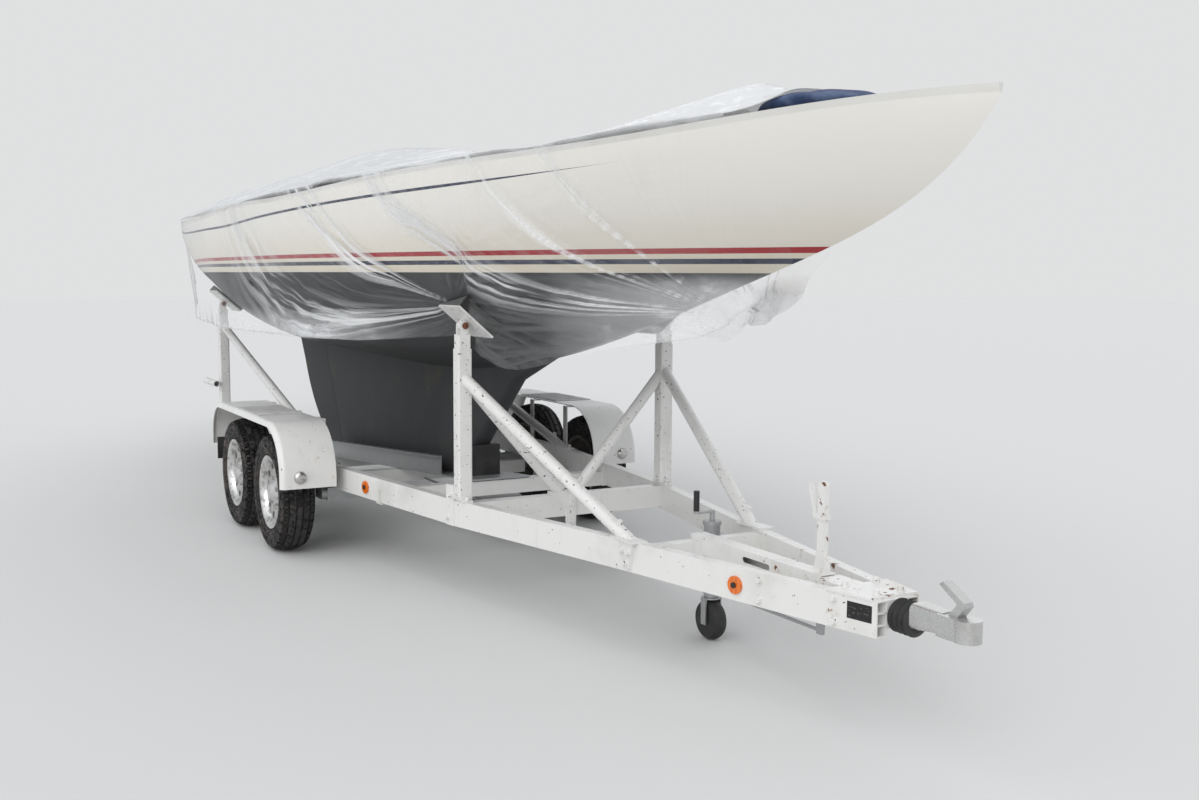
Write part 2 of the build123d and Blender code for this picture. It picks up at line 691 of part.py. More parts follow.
# Beams under the keel bed, hung from the rails by end plates
KEEL_BEAM_X = (1420.0, 450.0, -700.0)
KEEL_BEAM_WIDE = 60.0
KEEL_BEAM_HIGH = 68.0
HANGER_THICK = 8.0
with BuildPart() as keel_beams:
    for x in KEEL_BEAM_X:
        low_x = x - KEEL_BEAM_WIDE / 2
        top = bed_z(low_x) - BED_PLATE
        with BuildSketch(Plane.YZ.offset(low_x)):
            with Locations((0.0, top - KEEL_BEAM_HIGH / 2)):
                Rectangle(2 * rail_y(x), KEEL_BEAM_HIGH)
        extrude(amount=KEEL_BEAM_WIDE)
        for side in (-1, 1):
            with BuildSketch(Plane.YZ.offset(low_x - 15.0)):
                with Locations((side * (rail_y(x) - RAIL_WIDE), (top - KEEL_BEAM_HIGH + 400.0) / 2)):
                    Rectangle(2 * HANGER_THICK, 400.0 - top + KEEL_BEAM_HIGH)
            extrude(amount=KEEL_BEAM_WIDE + 30.0)
    for envelope in rail_envelopes.values():
        add(envelope, mode=Mode.SUBTRACT)
    for side in (-1, 1):
        with BuildSketch(Plane.XY.offset(100.0)):
            with Locations((-700.0, side * (BEND_Y + 60.0)), (450.0, side * (BEND_Y + 60.0))):
                Rectangle(120.0, 160.0 + 2 * RAIL_WIDE)
        extrude(amount=400.0, mode=Mode.SUBTRACT)
    add(keel_bed.part, mode=Mode.SUBTRACT)
keel_beams.part.label = "keel_beams"
export_step(keel_beams.part, "parts/keel_beams.step")

# Stop block ahead of the keel's toe
STOP_LONG = 44.0
STOP_HALF = 70.0
STOP_TOP = 520.0
with BuildPart() as keel_stop:
    with BuildSketch(Plane.XZ.offset(-STOP_HALF)):
        with BuildLine():
            Polyline((KEEL_TOE[0] + 0.5, bed_z(KEEL_TOE[0] + 0.5)), (KEEL_TOE[0] + 0.5, STOP_TOP),
                     (KEEL_TOE[0] + STOP_LONG, STOP_TOP), (KEEL_TOE[0] + STOP_LONG, bed_z(KEEL_TOE[0] + STOP_LONG)),
                     close=True)
        make_face()
    extrude(amount=2 * STOP_HALF)
    add(keel_body.part, mode=Mode.SUBTRACT)
keel_stop.part.label = "keel_stop"
export_step(keel_stop.part, "parts/keel_stop.step")


def bilge(x, y):
    """Height and slope of the hull's outer surface at x, y."""
    step = 40.0
    slope = atan2(underside(x, y + step) - underside(x, y - step), 2 * step)
    return underside(x, y), degrees(slope)


# Hull posts: an outer tube on the rail, an inner tube, a fork with its bolt, and a tilted pad
POSTS = ((POST_X, FRONT_POST_Y, FRONT_POST_TOP), (REAR_POST_X, REAR_POST_Y, REAR_POST_TOP))
PIVOT_DROP = 60.0
FORK_WALL = 6.0
FORK_GAP = 36.0
FORK_LOW = 41.0
PIN_R = 8.0
LUG_R = 17.0
PAD_LONG = 210.0
PAD_WIDE = 190.0
PAD_PLATE = 8.0
PAD_SOFT = 40.0
bore_size = POST_SIZE - 2 * POST_WALL
post_rows = []
for post_x, post_y, post_top in POSTS:
    hull_z, tilt = bilge(post_x, post_y)
    lean = radians(tilt)
    for side in (-1, 1):
        post_rows.append((post_x, side * post_y, post_top, side * lean, hull_z - PIVOT_DROP / cos(lean)))


def tilted(x, y, z, lean):
    """Plane through a pad's pivot, facing the hull."""
    return Plane(origin=(x, y, z), x_dir=(1, 0, 0), z_dir=(0, -sin(lean), cos(lean)))


with BuildPart() as posts:
    for x, y, top, lean, pivot_z in post_rows:
        with BuildSketch(Plane.XY.offset(RAIL_TOP)):
            with Locations((x, y)):
                Rectangle(POST_SIZE + 40.0, RAIL_WIDE)
        extrude(amount=FOOT_PLATE)
        with BuildSketch(Plane.XY.offset(RAIL_TOP + FOOT_PLATE)):
            with Locations((x, y)):
                RectangleRounded(POST_SIZE, POST_SIZE, 8.0)
        extrude(amount=top - RAIL_TOP - FOOT_PLATE)
        with BuildSketch(Plane.XY.offset(top)):
            with Locations((x, y)):
                RectangleRounded(bore_size, bore_size, 5.0)
        extrude(amount=-(top - RAIL_TOP - FOOT_PLATE), mode=Mode.SUBTRACT)
posts.part.label = "posts"
export_step(posts.part, "parts/posts.step")

with BuildPart() as post_inners:
    for x, y, top, lean, pivot_z in post_rows:
        with BuildSketch(Plane.XY.offset(top - 260.0)):
            with Locations((x, y)):
                RectangleRounded(bore_size - 0.4, bore_size - 0.4, 4.8)
        extrude(amount=pivot_z - FORK_LOW - top + 260.0)
post_inners.part.label = "post_inners"
export_step(post_inners.part, "parts/post_inners.step")

fork_wide = FORK_GAP + 2 * FORK_WALL
with BuildPart() as pad_forks:
    for x, y, top, lean, pivot_z in post_rows:
        cheek = Plane(origin=(x - fork_wide / 2, y, pivot_z), x_dir=(0, 1, 0), z_dir=(1, 0, 0))
        with BuildSketch(Plane(origin=(x, y, pivot_z - FORK_LOW))):
            Rectangle(fork_wide, 2 * LUG_R + 16.0)
        extrude(amount=FORK_WALL)
        with BuildSketch(cheek):
            Circle(LUG_R)
            with Locations((0.0, -FORK_LOW / 2)):
                Rectangle(2 * LUG_R, FORK_LOW)
        extrude(amount=fork_wide)
        with BuildSketch(Plane(origin=(x, y, pivot_z - FORK_LOW + FORK_WALL))):
            Rectangle(FORK_GAP, 80.0)
        extrude(amount=80.0, mode=Mode.SUBTRACT)
        with BuildSketch(cheek.offset(-8.0)):
            Circle(PIN_R)
        extrude(amount=fork_wide + 16.0)
pad_forks.part.label = "pad_forks"
export_step(pad_forks.part, "parts/pad_forks.step")

with BuildPart() as pad_plates:
    for x, y, top, lean, pivot_z in post_rows:
        with BuildSketch(tilted(x, y, pivot_z, lean).offset(LUG_R + 2.0)):
            Rectangle(PAD_LONG, PAD_WIDE)
        extrude(amount=PAD_PLATE)
        with BuildSketch(Plane(origin=(x - FORK_GAP / 2 + 0.3, y, pivot_z),
                               x_dir=(0, cos(lean), sin(lean)), z_dir=(1, 0, 0))):
            Circle(LUG_R - 1.0)
            with Locations((0.0, LUG_R / 2 + 1.0)):
                Rectangle(2 * LUG_R - 2.0, LUG_R + 3.0)
            Circle(PIN_R, mode=Mode.SUBTRACT)
        extrude(amount=FORK_GAP - 0.6)
pad_plates.part.label = "pad_plates"
export_step(pad_plates.part, "parts/pad_plates.step")

with BuildPart() as pads:
    for x, y, top, lean, pivot_z in post_rows:
        with BuildSketch(tilted(x, y, pivot_z, lean).offset(LUG_R + 2.0 + PAD_PLATE)):
            Rectangle(PAD_LONG + 10.0, PAD_WIDE + 10.0)
        extrude(amount=PAD_SOFT + 20.0)
    add(film_outside.part, mode=Mode.SUBTRACT)
pads.part.label = "pads"
export_step(pads.part, "parts/pads.step")

# The film's curtains, trapped between the hull and the pads
for side_name, side in SIDES:
    with BuildPart() as film_curtain:
        add(film_outside.part)
        add(hangs["outer"])
        with BuildSketch(Plane.XZ):
            with BuildLine():
                Polyline((FILM_ROWS[0][0], 2200.0), *[(x, hem_z) for x, _, _, hem_z in FILM_ROWS],
                         (FILM_ROWS[-1][0], 2200.0), close=True)
            make_face()
        extrude(amount=-side * 1100.0, mode=Mode.INTERSECT)
        add(hangs["inner"], mode=Mode.SUBTRACT)
        add(film_lining.part, mode=Mode.SUBTRACT)
        add(above_deck.part, mode=Mode.SUBTRACT)
        add(pads.part, mode=Mode.SUBTRACT)
        add(pad_plates.part, mode=Mode.SUBTRACT)
    sheet = film_curtain.solids().sort_by(SortBy.VOLUME)[-1]
    sheet.label = f"film_{side_name}"
    export_step(sheet, f"parts/film_{side_name}.step")

# Round braces from the posts down to the rails and to the middle of the post beam
BRACE_R = 24.0
BRACE_WALL = 3.0
BRACE_OVER = 80.0
SHOE_THICK = 6.0
FRONT_BRACE_FOOT = (3060.0, 268.0)
MID_FOOT_Y = 42.0
REAR_BRACE_TOP = 1000.0
REAR_BRACE_FOOT = 845.0
REAR_BRACE_Y = REAR_POST_Y - 6.0
shoe_top = RAIL_TOP + SHOE_THICK
brace_lines = []
for side in (-1, 1):
    front_top = (POST_X, side * FRONT_POST_Y, BRACE_Z)
    brace_lines += [
        (front_top, (FRONT_BRACE_FOOT[0], side * FRONT_BRACE_FOOT[1], shoe_top)),
        (front_top, (POST_X, side * MID_FOOT_Y, shoe_top)),
        ((REAR_POST_X, side * REAR_BRACE_Y, REAR_BRACE_TOP), (REAR_BRACE_FOOT, side * REAR_BRACE_Y, shoe_top)),
    ]

with BuildPart() as braces:
    for start, end in brace_lines:
        run = Vector(*end) - Vector(*start)
        with BuildSketch(Plane(origin=start, z_dir=run)):
            Circle(BRACE_R)
        extrude(amount=run.length + BRACE_OVER)
        with BuildSketch(Plane(origin=start, z_dir=run)):
            Circle(BRACE_R - BRACE_WALL)
        extrude(amount=run.length + BRACE_OVER, mode=Mode.SUBTRACT)
    with BuildSketch(Plane.XY.offset(300.0)):
        for x, y, top, lean, pivot_z in post_rows:
            with Locations((x, y)):
                RectangleRounded(POST_SIZE, POST_SIZE, 8.0)
    extrude(amount=900.0, mode=Mode.SUBTRACT)
    with BuildSketch(Plane.XY.offset(shoe_top)):
        Rectangle(8000.0, 3000.0)
    extrude(amount=-300.0, mode=Mode.SUBTRACT)
braces.part.label = "braces"
export_step(braces.part, "parts/braces.step")

# Plates of the frame: brace shoes, the gussets bolted to the rails and the mid plate of the post beam
MID_PLATE_THICK = 10.0
MID_PLATE_WIDE = 46.0
MID_PLATE_LOW = 170.0
COLLAR_AFT, COLLAR_FORE = POST_X - 87.0, POST_X - POST_SIZE / 2
COLLAR_RISE = 168.0
ROD_R = 6.0
ROD_Z = 240.0
with BuildPart() as frame_plates:
    for side in (-1, 1):
        with BuildSketch(Plane.XZ.offset(-side * (GUSSET_Y + 12.0))):
            with BuildLine():
                Polyline((GUSSET_X - 75.0, RAIL_TOP + SHOE_THICK), (GUSSET_X + 35.0, RAIL_TOP + SHOE_THICK),
                         (GUSSET_X + 10.0, RAIL_LOW + 12.0), (GUSSET_X - 35.0, RAIL_LOW + 12.0), close=True)
            make_face()
        extrude(amount=side * 36.0)
        with BuildSketch(Plane.XY.offset(RAIL_TOP)):
            with Locations((GUSSET_X - 30.0, side * (GUSSET_Y - 12.0))):
                Rectangle(150.0, 62.0)
            with Locations((REAR_BRACE_FOOT, side * REAR_BRACE_Y)):
                Rectangle(240.0, RAIL_WIDE)
        extrude(amount=SHOE_THICK)
    with BuildSketch(Plane.XY.offset(CROSS_BEAMS[1][3])):
        with Locations((POST_X, 0.0)):
            Rectangle(CROSS_BEAMS[1][1], 160.0)
    extrude(amount=shoe_top - CROSS_BEAMS[1][3])
    with BuildSketch(Plane.YZ.offset(POST_X + CROSS_BEAMS[1][1] / 2)):
        with Locations((0.0, (RAIL_TOP + MID_PLATE_LOW) / 2)):
            Rectangle(MID_PLATE_WIDE, RAIL_TOP - MID_PLATE_LOW)
    extrude(amount=MID_PLATE_THICK)
    with BuildSketch(Plane.YZ.offset(POST_X)):
        with Locations((0.0, ROD_Z)):
            Circle(ROD_R + 1.0)
    extrude(amount=CROSS_BEAMS[1][1], mode=Mode.SUBTRACT)
    for side in (-1, 1):
        with BuildSketch(Plane.XY.offset(RAIL_LOW)):
            with BuildLine():
                Polyline(*[(x, side * (rail_y(x) + out)) for x, out in
                           ((COLLAR_AFT, 0.0), (COLLAR_FORE, 0.0), (COLLAR_FORE, SHOE_THICK), (COLLAR_AFT, SHOE_THICK))],
                         close=True)
            make_face()
        extrude(amount=COLLAR_RISE)
    for envelope in rail_envelopes.values():
        add(envelope, mode=Mode.SUBTRACT)
    add(posts.part, mode=Mode.SUBTRACT)
frame_plates.part.label = "frame_plates"
export_step(frame_plates.part, "parts/frame_plates.step")

# Wheels: tyre and rim are one body on each stub axle
TYRE_MID_Y = TYRE_FACE_Y - TYRE_WIDE / 2
BEAD_HALF = 64.0
DISC_Y = TYRE_FACE_Y - 46.0
DISC_THICK = 9.0
BOSS_R = 40.0
BOSS_FACE_Y = TYRE_FACE_Y - 14.0
DRUM_R = 108.0
DRUM_BACK_Y = TYRE_FACE_Y - 176.0
VENTS = 10
VENT_R = 17.0
VENT_PITCH_R = 118.0
for axle_name, axle_x in AXLES:
    for side_name, side in SIDES:
        wheel_axis = Plane(origin=(axle_x, 0, HUB_Z), x_dir=(1, 0, 0), z_dir=(0, side, 0))
        with BuildPart() as tyre:
            with BuildSketch(Plane(origin=(axle_x, 0, HUB_Z), x_dir=(0, side, 0), z_dir=(1, 0, 0))) as section:
                with BuildLine():
                    half = TYRE_WIDE / 2
                    inside = TYRE_MID_Y - BEAD_HALF
                    outside = TYRE_MID_Y + BEAD_HALF
                    Line((inside, RIM_R + 1.0), (outside, RIM_R + 1.0))
                    Line((outside, RIM_R + 1.0), (outside, RIM_FLANGE_R))
                    ThreePointArc((outside, RIM_FLANGE_R), (TYRE_MID_Y + half, 228.0), (TYRE_MID_Y + half - 16.0, 270.0))
                    ThreePointArc((TYRE_MID_Y + half - 16.0, 270.0), (TYRE_MID_Y, TYRE_R), (TYRE_MID_Y - half + 16.0, 270.0))
                    ThreePointArc((TYRE_MID_Y - half + 16.0, 270.0), (TYRE_MID_Y - half, 228.0), (inside, RIM_FLANGE_R))
                    Line((inside, RIM_FLANGE_R), (inside, RIM_R + 1.0))
                make_face()
            revolve(axis=Axis((axle_x, 0, HUB_Z), (0, 1, 0)))
        tyre.part.label = f"tyre_{axle_name}_{side_name}"
        export_step(tyre.part, f"parts/tyre_{axle_name}_{side_name}.step")

        with BuildPart() as rim:
            with BuildSketch(Plane(origin=(axle_x, 0, HUB_Z), x_dir=(0, side, 0), z_dir=(1, 0, 0))):
                with BuildLine():
                    Polyline((inside - 8.0, RIM_FLANGE_R - 0.5), (inside - 0.5, RIM_FLANGE_R - 0.5),
                             (inside - 0.5, RIM_R + 0.5), (outside + 0.5, RIM_R + 0.5),
                             (outside + 0.5, RIM_FLANGE_R - 0.5), (outside + 8.0, RIM_FLANGE_R - 0.5),
                             (outside + 5.0, RIM_R - 4.0), (DISC_Y + 20.0, RIM_R - 14.0),
                             (DISC_Y + 4.0, VENT_PITCH_R + 28.0), (DISC_Y, VENT_PITCH_R - 30.0),
                             (DISC_Y + 12.0, BOSS_R + 12.0), (BOSS_FACE_Y, BOSS_R - 10.0), (BOSS_FACE_Y, 0.0),
                             (DISC_Y + 6.0, 0.0), (DISC_Y + 6.0, STUB_R + STUB_FIT),
                             (DRUM_BACK_Y + 60.0, STUB_R + STUB_FIT), (DRUM_BACK_Y + 60.0, DRUM_R - 8.0),
                             (DRUM_BACK_Y + 10.0, DRUM_R - 8.0), (DRUM_BACK_Y + 10.0, DRUM_R),
                             (DISC_Y - 20.0, DRUM_R), (DISC_Y - DISC_THICK, DRUM_R + 10.0),
                             (DISC_Y - DISC_THICK, VENT_PITCH_R + 30.0), (DISC_Y + 2.0, RIM_R - 12.0),
                             (inside - 4.0, RIM_R - 8.0), close=True)
                make_face()
            revolve(axis=Axis((axle_x, 0, HUB_Z), (0, 1, 0)))
            with BuildSketch(wheel_axis.offset(DISC_Y - 30.0)):
                with PolarLocations(VENT_PITCH_R + 8.0, VENTS):
                    Circle(VENT_R)
            extrude(amount=60.0, mode=Mode.SUBTRACT)
        rim.part.label = f"rim_{axle_name}_{side_name}"
        export_step(rim.part, f"parts/rim_{axle_name}_{side_name}.step")

# Half-axle units: a torsion tube under the rail, a trailing arm and a stub axle with its brake plate
ARM_LONG = 150.0
TUBE_SIZE = 58.0
TUBE_IN_Y = 440.0
ARM_IN_Y = 688.0
ARM_THICK = 26.0
with BuildPart() as suspension:
    for side in (-1, 1):
        for _, axle_x in AXLES:
            with BuildSketch(Plane(origin=(axle_x + ARM_LONG, side * TUBE_IN_Y, RAIL_LOW - TUBE_SIZE / 2),
                                   x_dir=(1, 0, 0), z_dir=(0, side, 0))):
                Rectangle(TUBE_SIZE, TUBE_SIZE)
            extrude(amount=ARM_IN_Y - TUBE_IN_Y)
            with BuildSketch(Plane(origin=(axle_x + ARM_LONG / 2, side * ARM_IN_Y, (RAIL_LOW - TUBE_SIZE / 2 + HUB_Z) / 2),
                                   x_dir=(1, 0, 0), z_dir=(0, side, 0))):
                SlotCenterToCenter(ARM_LONG, 56.0)
            extrude(amount=ARM_THICK)
            hub_plane = Plane(origin=(axle_x, side * (ARM_IN_Y + ARM_THICK), HUB_Z), x_dir=(1, 0, 0), z_dir=(0, side, 0))
            with BuildSketch(hub_plane):
                Circle(STUB_R)
            extrude(amount=DISC_Y - ARM_IN_Y - ARM_THICK)
            with BuildSketch(hub_plane.offset(10.0)):
                Circle(DRUM_R)
            extrude(amount=DRUM_BACK_Y - ARM_IN_Y - ARM_THICK - 10.0)
suspension.part.label = "suspension"
export_step(suspension.part, "parts/suspension.step")

# Mudguards: one long arch over both wheels on each side
GUARD_IN_Y = 690.0
GUARD_OUT_Y = 952.0
GUARD_THICK = 4.0
GUARD_TOP = 640.0
GUARD_FORE = 1112.0
GUARD_AFT = -300.0
GUARD_LOW = 345.0
GUARD_AFT_LOW = 400.0
GUARD_R = 250.0
GUARD_EDGE_R = 26.0


def guard_profile(inset):
    """Side view of the arch, inset by a wall."""
    top, fore, aft, r = GUARD_TOP - inset, GUARD_FORE - inset, GUARD_AFT + inset, GUARD_R - inset
    k = r * (1 - cos(radians(45.0)))
    with BuildSketch() as profile:
        with BuildLine():
            Line((fore, GUARD_LOW), (fore, top - r))
            ThreePointArc((fore, top - r), (fore - k, top - k), (fore - r, top))
            Line((fore - r, top), (aft + r * 0.7, top))
            ThreePointArc((aft + r * 0.7, top), (aft + k * 0.7, top - k * 0.7), (aft, top - r * 0.7))
            Line((aft, top - r * 0.7), (aft, GUARD_LOW))
            Line((aft, GUARD_LOW), (fore, GUARD_LOW))
        make_face()
    return profile.sketch


for side_name, side in SIDES:
    shells = []
    for inset in (0.0, GUARD_THICK):
        with BuildPart() as shell:
            with BuildSketch(Plane.XZ.offset(-side * GUARD_IN_Y)):
                add(guard_profile(inset))
            extrude(amount=-side * (GUARD_OUT_Y - inset - GUARD_IN_Y))
            rim_edges = shell.faces().sort_by(Axis.Y)[-1 if side > 0 else 0].edges().sort_by(Axis.Z)[1:]
            fillet(rim_edges, radius=GUARD_EDGE_R - inset)
        shells.append(shell.part)
    with BuildPart() as mudguard:
        add(shells[0])
        add(shells[1], mode=Mode.SUBTRACT)
        with BuildSketch(Plane.XZ.offset(-side * GUARD_IN_Y)):
            add(guard_profile(GUARD_EDGE_R))
        extrude(amount=-side * (GUARD_OUT_Y - GUARD_IN_Y), mode=Mode.SUBTRACT)
        with BuildSketch(Plane.XY.offset(GUARD_LOW - 1.0)):
            with Locations((GUARD_AFT, side * (GUARD_IN_Y + GUARD_OUT_Y) / 2)):
                Rectangle(60.0, 400.0)
        extrude(amount=GUARD_AFT_LOW - GUARD_LOW, mode=Mode.SUBTRACT)
        for x in (GUARD_FORE - GUARD_R - 20.0, (AXLES[0][1] + AXLES[1][1]) / 2, GUARD_AFT + GUARD_R):
            with BuildSketch(Plane.YZ.offset(x - 20.0)):
                with BuildLine():
                    Polyline((side * BEND_Y, 330.0), (side * (BEND_Y + 6.0), 330.0),
                             (side * (BEND_Y + 6.0), GUARD_TOP - GUARD_THICK - 6.0),
                             (side * (GUARD_OUT_Y - 40.0), GUARD_TOP - GUARD_THICK - 6.0),
                             (side * (GUARD_OUT_Y - 40.0), GUARD_TOP - GUARD_THICK),
                             (side * BEND_Y, GUARD_TOP - GUARD_THICK), close=True)
                make_face()
            extrude(amount=40.0)
        for envelope in rail_envelopes.values():
            add(envelope, mode=Mode.SUBTRACT)
    mudguard.part.label = f"mudguard_{side_name}"
    export_step(mudguard.part, f"parts/mudguard_{side_name}.step")

# Ribbed step mats on the mudguards, and a lamp on the front of each
MAT_FORE, MAT_AFT = 640.0, 200.0
MAT_IN_Y, MAT_OUT_Y = 712.0, 930.0
MAT_THICK = 4.0
RIB_PITCH = 40.0
with BuildPart() as step_mats:
    for side in (-1, 1):
        with BuildSketch(Plane.XY.offset(GUARD_TOP)):
            with Locations(((MAT_FORE + MAT_AFT) / 2, side * (MAT_IN_Y + MAT_OUT_Y) / 2)):
                Rectangle(MAT_FORE - MAT_AFT, MAT_OUT_Y - MAT_IN_Y)
        extrude(amount=MAT_THICK)
        with BuildSketch(Plane.XY.offset(GUARD_TOP + MAT_THICK)):
            with Locations(((MAT_FORE + MAT_AFT) / 2, side * (MAT_IN_Y + MAT_OUT_Y) / 2)):
                with GridLocations(RIB_PITCH, 1.0, 10, 1):
                    Rectangle(12.0, MAT_OUT_Y - MAT_IN_Y - 16.0)
        extrude(amount=3.0)
step_mats.part.label = "step_mats"
export_step(step_mats.part, "parts/step_mats.step")

LAMP_Y, LAMP_Z, LAMP_R = 862.0, 397.0, 30.0
with BuildPart() as lamps:
    for side in (-1, 1):
        with BuildSketch(Plane(origin=(GUARD_FORE, side * LAMP_Y, LAMP_Z), x_dir=(0, 1, 0), z_dir=(1, 0, 0))):
            Circle(LAMP_R)
        extrude(amount=12.0)
    fillet(lamps.edges().group_by(Axis.X)[-1], radius=8.0)
lamps.part.label = "lamps"
export_step(lamps.part, "parts/lamps.step")

# Rubber flaps on the mudguards' aft ends
FLAP_LOW, FLAP_TOP = 310.0, 430.0
FLAP_THICK = 5.0
flap_in, flap_out = GUARD_IN_Y + 6.0, GUARD_OUT_Y - GUARD_EDGE_R - 2.0
with BuildPart() as mud_flaps:
    with BuildSketch(Plane.XY.offset(FLAP_LOW)):
        for side in (-1, 1):
            with Locations((GUARD_AFT + GUARD_THICK, side * (flap_in + flap_out) / 2)):
                Rectangle(FLAP_THICK, flap_out - flap_in, align=(Align.MIN, Align.CENTER))
    extrude(amount=FLAP_TOP - FLAP_LOW)
mud_flaps.part.label = "mud_flaps"
export_step(mud_flaps.part, "parts/mud_flaps.step")

# Round side reflectors on the frame's outer face
REFLECTOR_X = (1300.0, 3600.0)
REFLECTOR_R, REFLECTOR_THICK = 29.0, 7.0
REFLECTOR_Z = 363.0
with BuildPart() as reflectors:
    for side in (-1, 1):
        for x in REFLECTOR_X:
            slope = (rail_y(x + 10.0) - rail_y(x - 10.0)) / 20.0
            face = Plane(origin=(x, side * rail_y(x), REFLECTOR_Z), x_dir=(1, side * slope, 0), z_dir=(-slope, side, 0))
            with BuildSketch(face):
                Circle(REFLECTOR_R)
            extrude(amount=REFLECTOR_THICK)
            with BuildSketch(face.offset(REFLECTOR_THICK)):
                Circle(REFLECTOR_R * 0.2)
            extrude(amount=1.5)
reflectors.part.label = "reflectors"
export_step(reflectors.part, "parts/reflectors.step")

# Sleeves for a light board, along the frame on the outer faces of the rear posts
SLEEVE_OUT_R, SLEEVE_BORE_R = 20.0, 16.5
SLEEVE_Z = 640.0
SLEEVE_FORE, SLEEVE_AFT = REAR_POST_X + 50.0, REAR_POST_X - 250.0
SLEEVE_SADDLE = 12.0
post_face = REAR_POST_Y + POST_SIZE / 2
with BuildPart() as light_sleeves:
    for side in (-1, 1):
        sleeve_y = side * (post_face + SLEEVE_SADDLE + SLEEVE_OUT_R - 3.0)
        with BuildSketch(Plane.YZ.offset(SLEEVE_AFT)):
            with Locations((sleeve_y, SLEEVE_Z)):
                Circle(SLEEVE_OUT_R)
        extrude(amount=SLEEVE_FORE - SLEEVE_AFT)
        with BuildSketch(Plane.YZ.offset(REAR_POST_X - POST_SIZE / 2)):
            with Locations((side * (post_face + SLEEVE_SADDLE / 2), SLEEVE_Z)):
                Rectangle(SLEEVE_SADDLE, SLEEVE_OUT_R)
        extrude(amount=POST_SIZE)
        with BuildSketch(Plane.YZ.offset(SLEEVE_AFT)):
            with Locations((sleeve_y, SLEEVE_Z)):
                Circle(SLEEVE_BORE_R)
        extrude(amount=SLEEVE_FORE - SLEEVE_AFT, mode=Mode.SUBTRACT)
light_sleeves.part.label = "light_sleeves"
export_step(light_sleeves.part, "parts/light_sleeves.step")

# Overrun gear on the nose: a box tube notched into the jockey beam, and the housing at its fore end
with BuildPart() as overrun_tube:
    with BuildSketch(Plane.YZ.offset(TUBE_AFT)):
        with Locations((0.0, TUBE_TOP - TUBE_HIGH / 2)):
            Rectangle(TUBE_WIDE, TUBE_HIGH)
            Rectangle(TUBE_WIDE - 2 * RAIL_WALL, TUBE_HIGH - 2 * RAIL_WALL, mode=Mode.SUBTRACT)
    extrude(amount=HOUSING_AFT - TUBE_AFT)
    with BuildSketch(Plane.XZ.offset(-TUBE_WIDE)):
        with Locations((HOUSING_AFT - SLOT_FROM_HOUSING, TUBE_TOP - TUBE_HIGH / 2)):
            SlotOverall(SLOT_LONG, SLOT_HIGH)
    extrude(amount=2 * TUBE_WIDE, mode=Mode.SUBTRACT)
overrun_tube.part.label = "overrun_tube"
export_step(overrun_tube.part, "parts/overrun_tube.step")

SHAFT_R = 25.0
SHAFT_Z = 374.0
BELLOWS_AFT = HOUSING_FORE + 0.3
BELLOWS_LONG = 84.0
BELLOWS_FORE = HOUSING_FORE + BELLOWS_LONG
BALL_R = 25.0
BALL_FIT = 0.2
BALL_Z = 384.0
BALL_X = BELLOWS_FORE + 184.0
HEAD_NOSE_R = 38.0
HEAD_LOW, HEAD_HIGH = 362.0, 62.0
HEAD_NECK = 72.0
SHAFT_IN_HEAD = 7.0
NOSE_PLATE_LONG, NOSE_PLATE_SHORT = 174.0, 14.0
NOSE_PLATE_LAP = 4.0
with BuildPart() as overrun_housing:
    with BuildSketch(Plane.YZ.offset(HOUSING_AFT)):
        with Locations((0.0, (HOUSING_LOW + RAIL_TOP) / 2)):
            Rectangle(2 * HOUSING_HALF, RAIL_TOP - HOUSING_LOW)
    extrude(amount=HOUSING_FORE - HOUSING_AFT)
    with BuildSketch(Plane.XY.offset(RAIL_TOP)):
        with BuildLine():
            plate_aft, plate_fore = NOSE_X - NOSE_PLATE_LONG, NOSE_X - NOSE_PLATE_SHORT
            aft_y, fore_y = rail_y(plate_aft) + NOSE_PLATE_LAP, rail_y(plate_fore) + NOSE_PLATE_LAP
            Polyline((plate_aft, -aft_y), (plate_fore, -fore_y), (plate_fore, fore_y), (plate_aft, aft_y),
                     close=True)
        make_face()
    extrude(amount=PLATE_THICK)
    with BuildSketch(Plane.YZ.offset(HOUSING_AFT)):
        with Locations((0.0, SHAFT_Z)):
            Circle(SHAFT_R + 0.1)
    extrude(amount=HOUSING_FORE - HOUSING_AFT, mode=Mode.SUBTRACT)
    for envelope in rail_envelopes.values():
        add(envelope, mode=Mode.SUBTRACT)
overrun_housing.part.label = "overrun_housing"
export_step(overrun_housing.part, "parts/overrun_housing.step")

with BuildPart() as overrun_shaft:
    with BuildSketch(Plane.YZ.offset(HOUSING_AFT + 20.0)):
        with Locations((0.0, SHAFT_Z)):
            Circle(SHAFT_R)
    extrude(amount=BELLOWS_FORE + SHAFT_IN_HEAD - HOUSING_AFT - 20.0)
overrun_shaft.part.label = "overrun_shaft"
export_step(overrun_shaft.part, "parts/overrun_shaft.step")

FOLDS = 4
with BuildPart() as bellows:
    pitch = (BELLOWS_FORE - BELLOWS_AFT) / FOLDS
    with BuildSketch(Plane.XZ):
        with BuildLine():
            crests = []
            for fold in range(FOLDS):
                start = BELLOWS_AFT + fold * pitch
                crests += [(start, SHAFT_Z + 36.0), (start + pitch / 2, SHAFT_Z + 50.0)]
            Polyline((BELLOWS_AFT, SHAFT_Z + SHAFT_R + 0.5), *crests, (BELLOWS_FORE, SHAFT_Z + 36.0),
                     (BELLOWS_FORE, SHAFT_Z + SHAFT_R + 0.5), close=True)
        make_face()
    revolve(axis=Axis((0, 0, SHAFT_Z), (1, 0, 0)))
bellows.part.label = "bellows"
export_step(bellows.part, "parts/bellows.step")

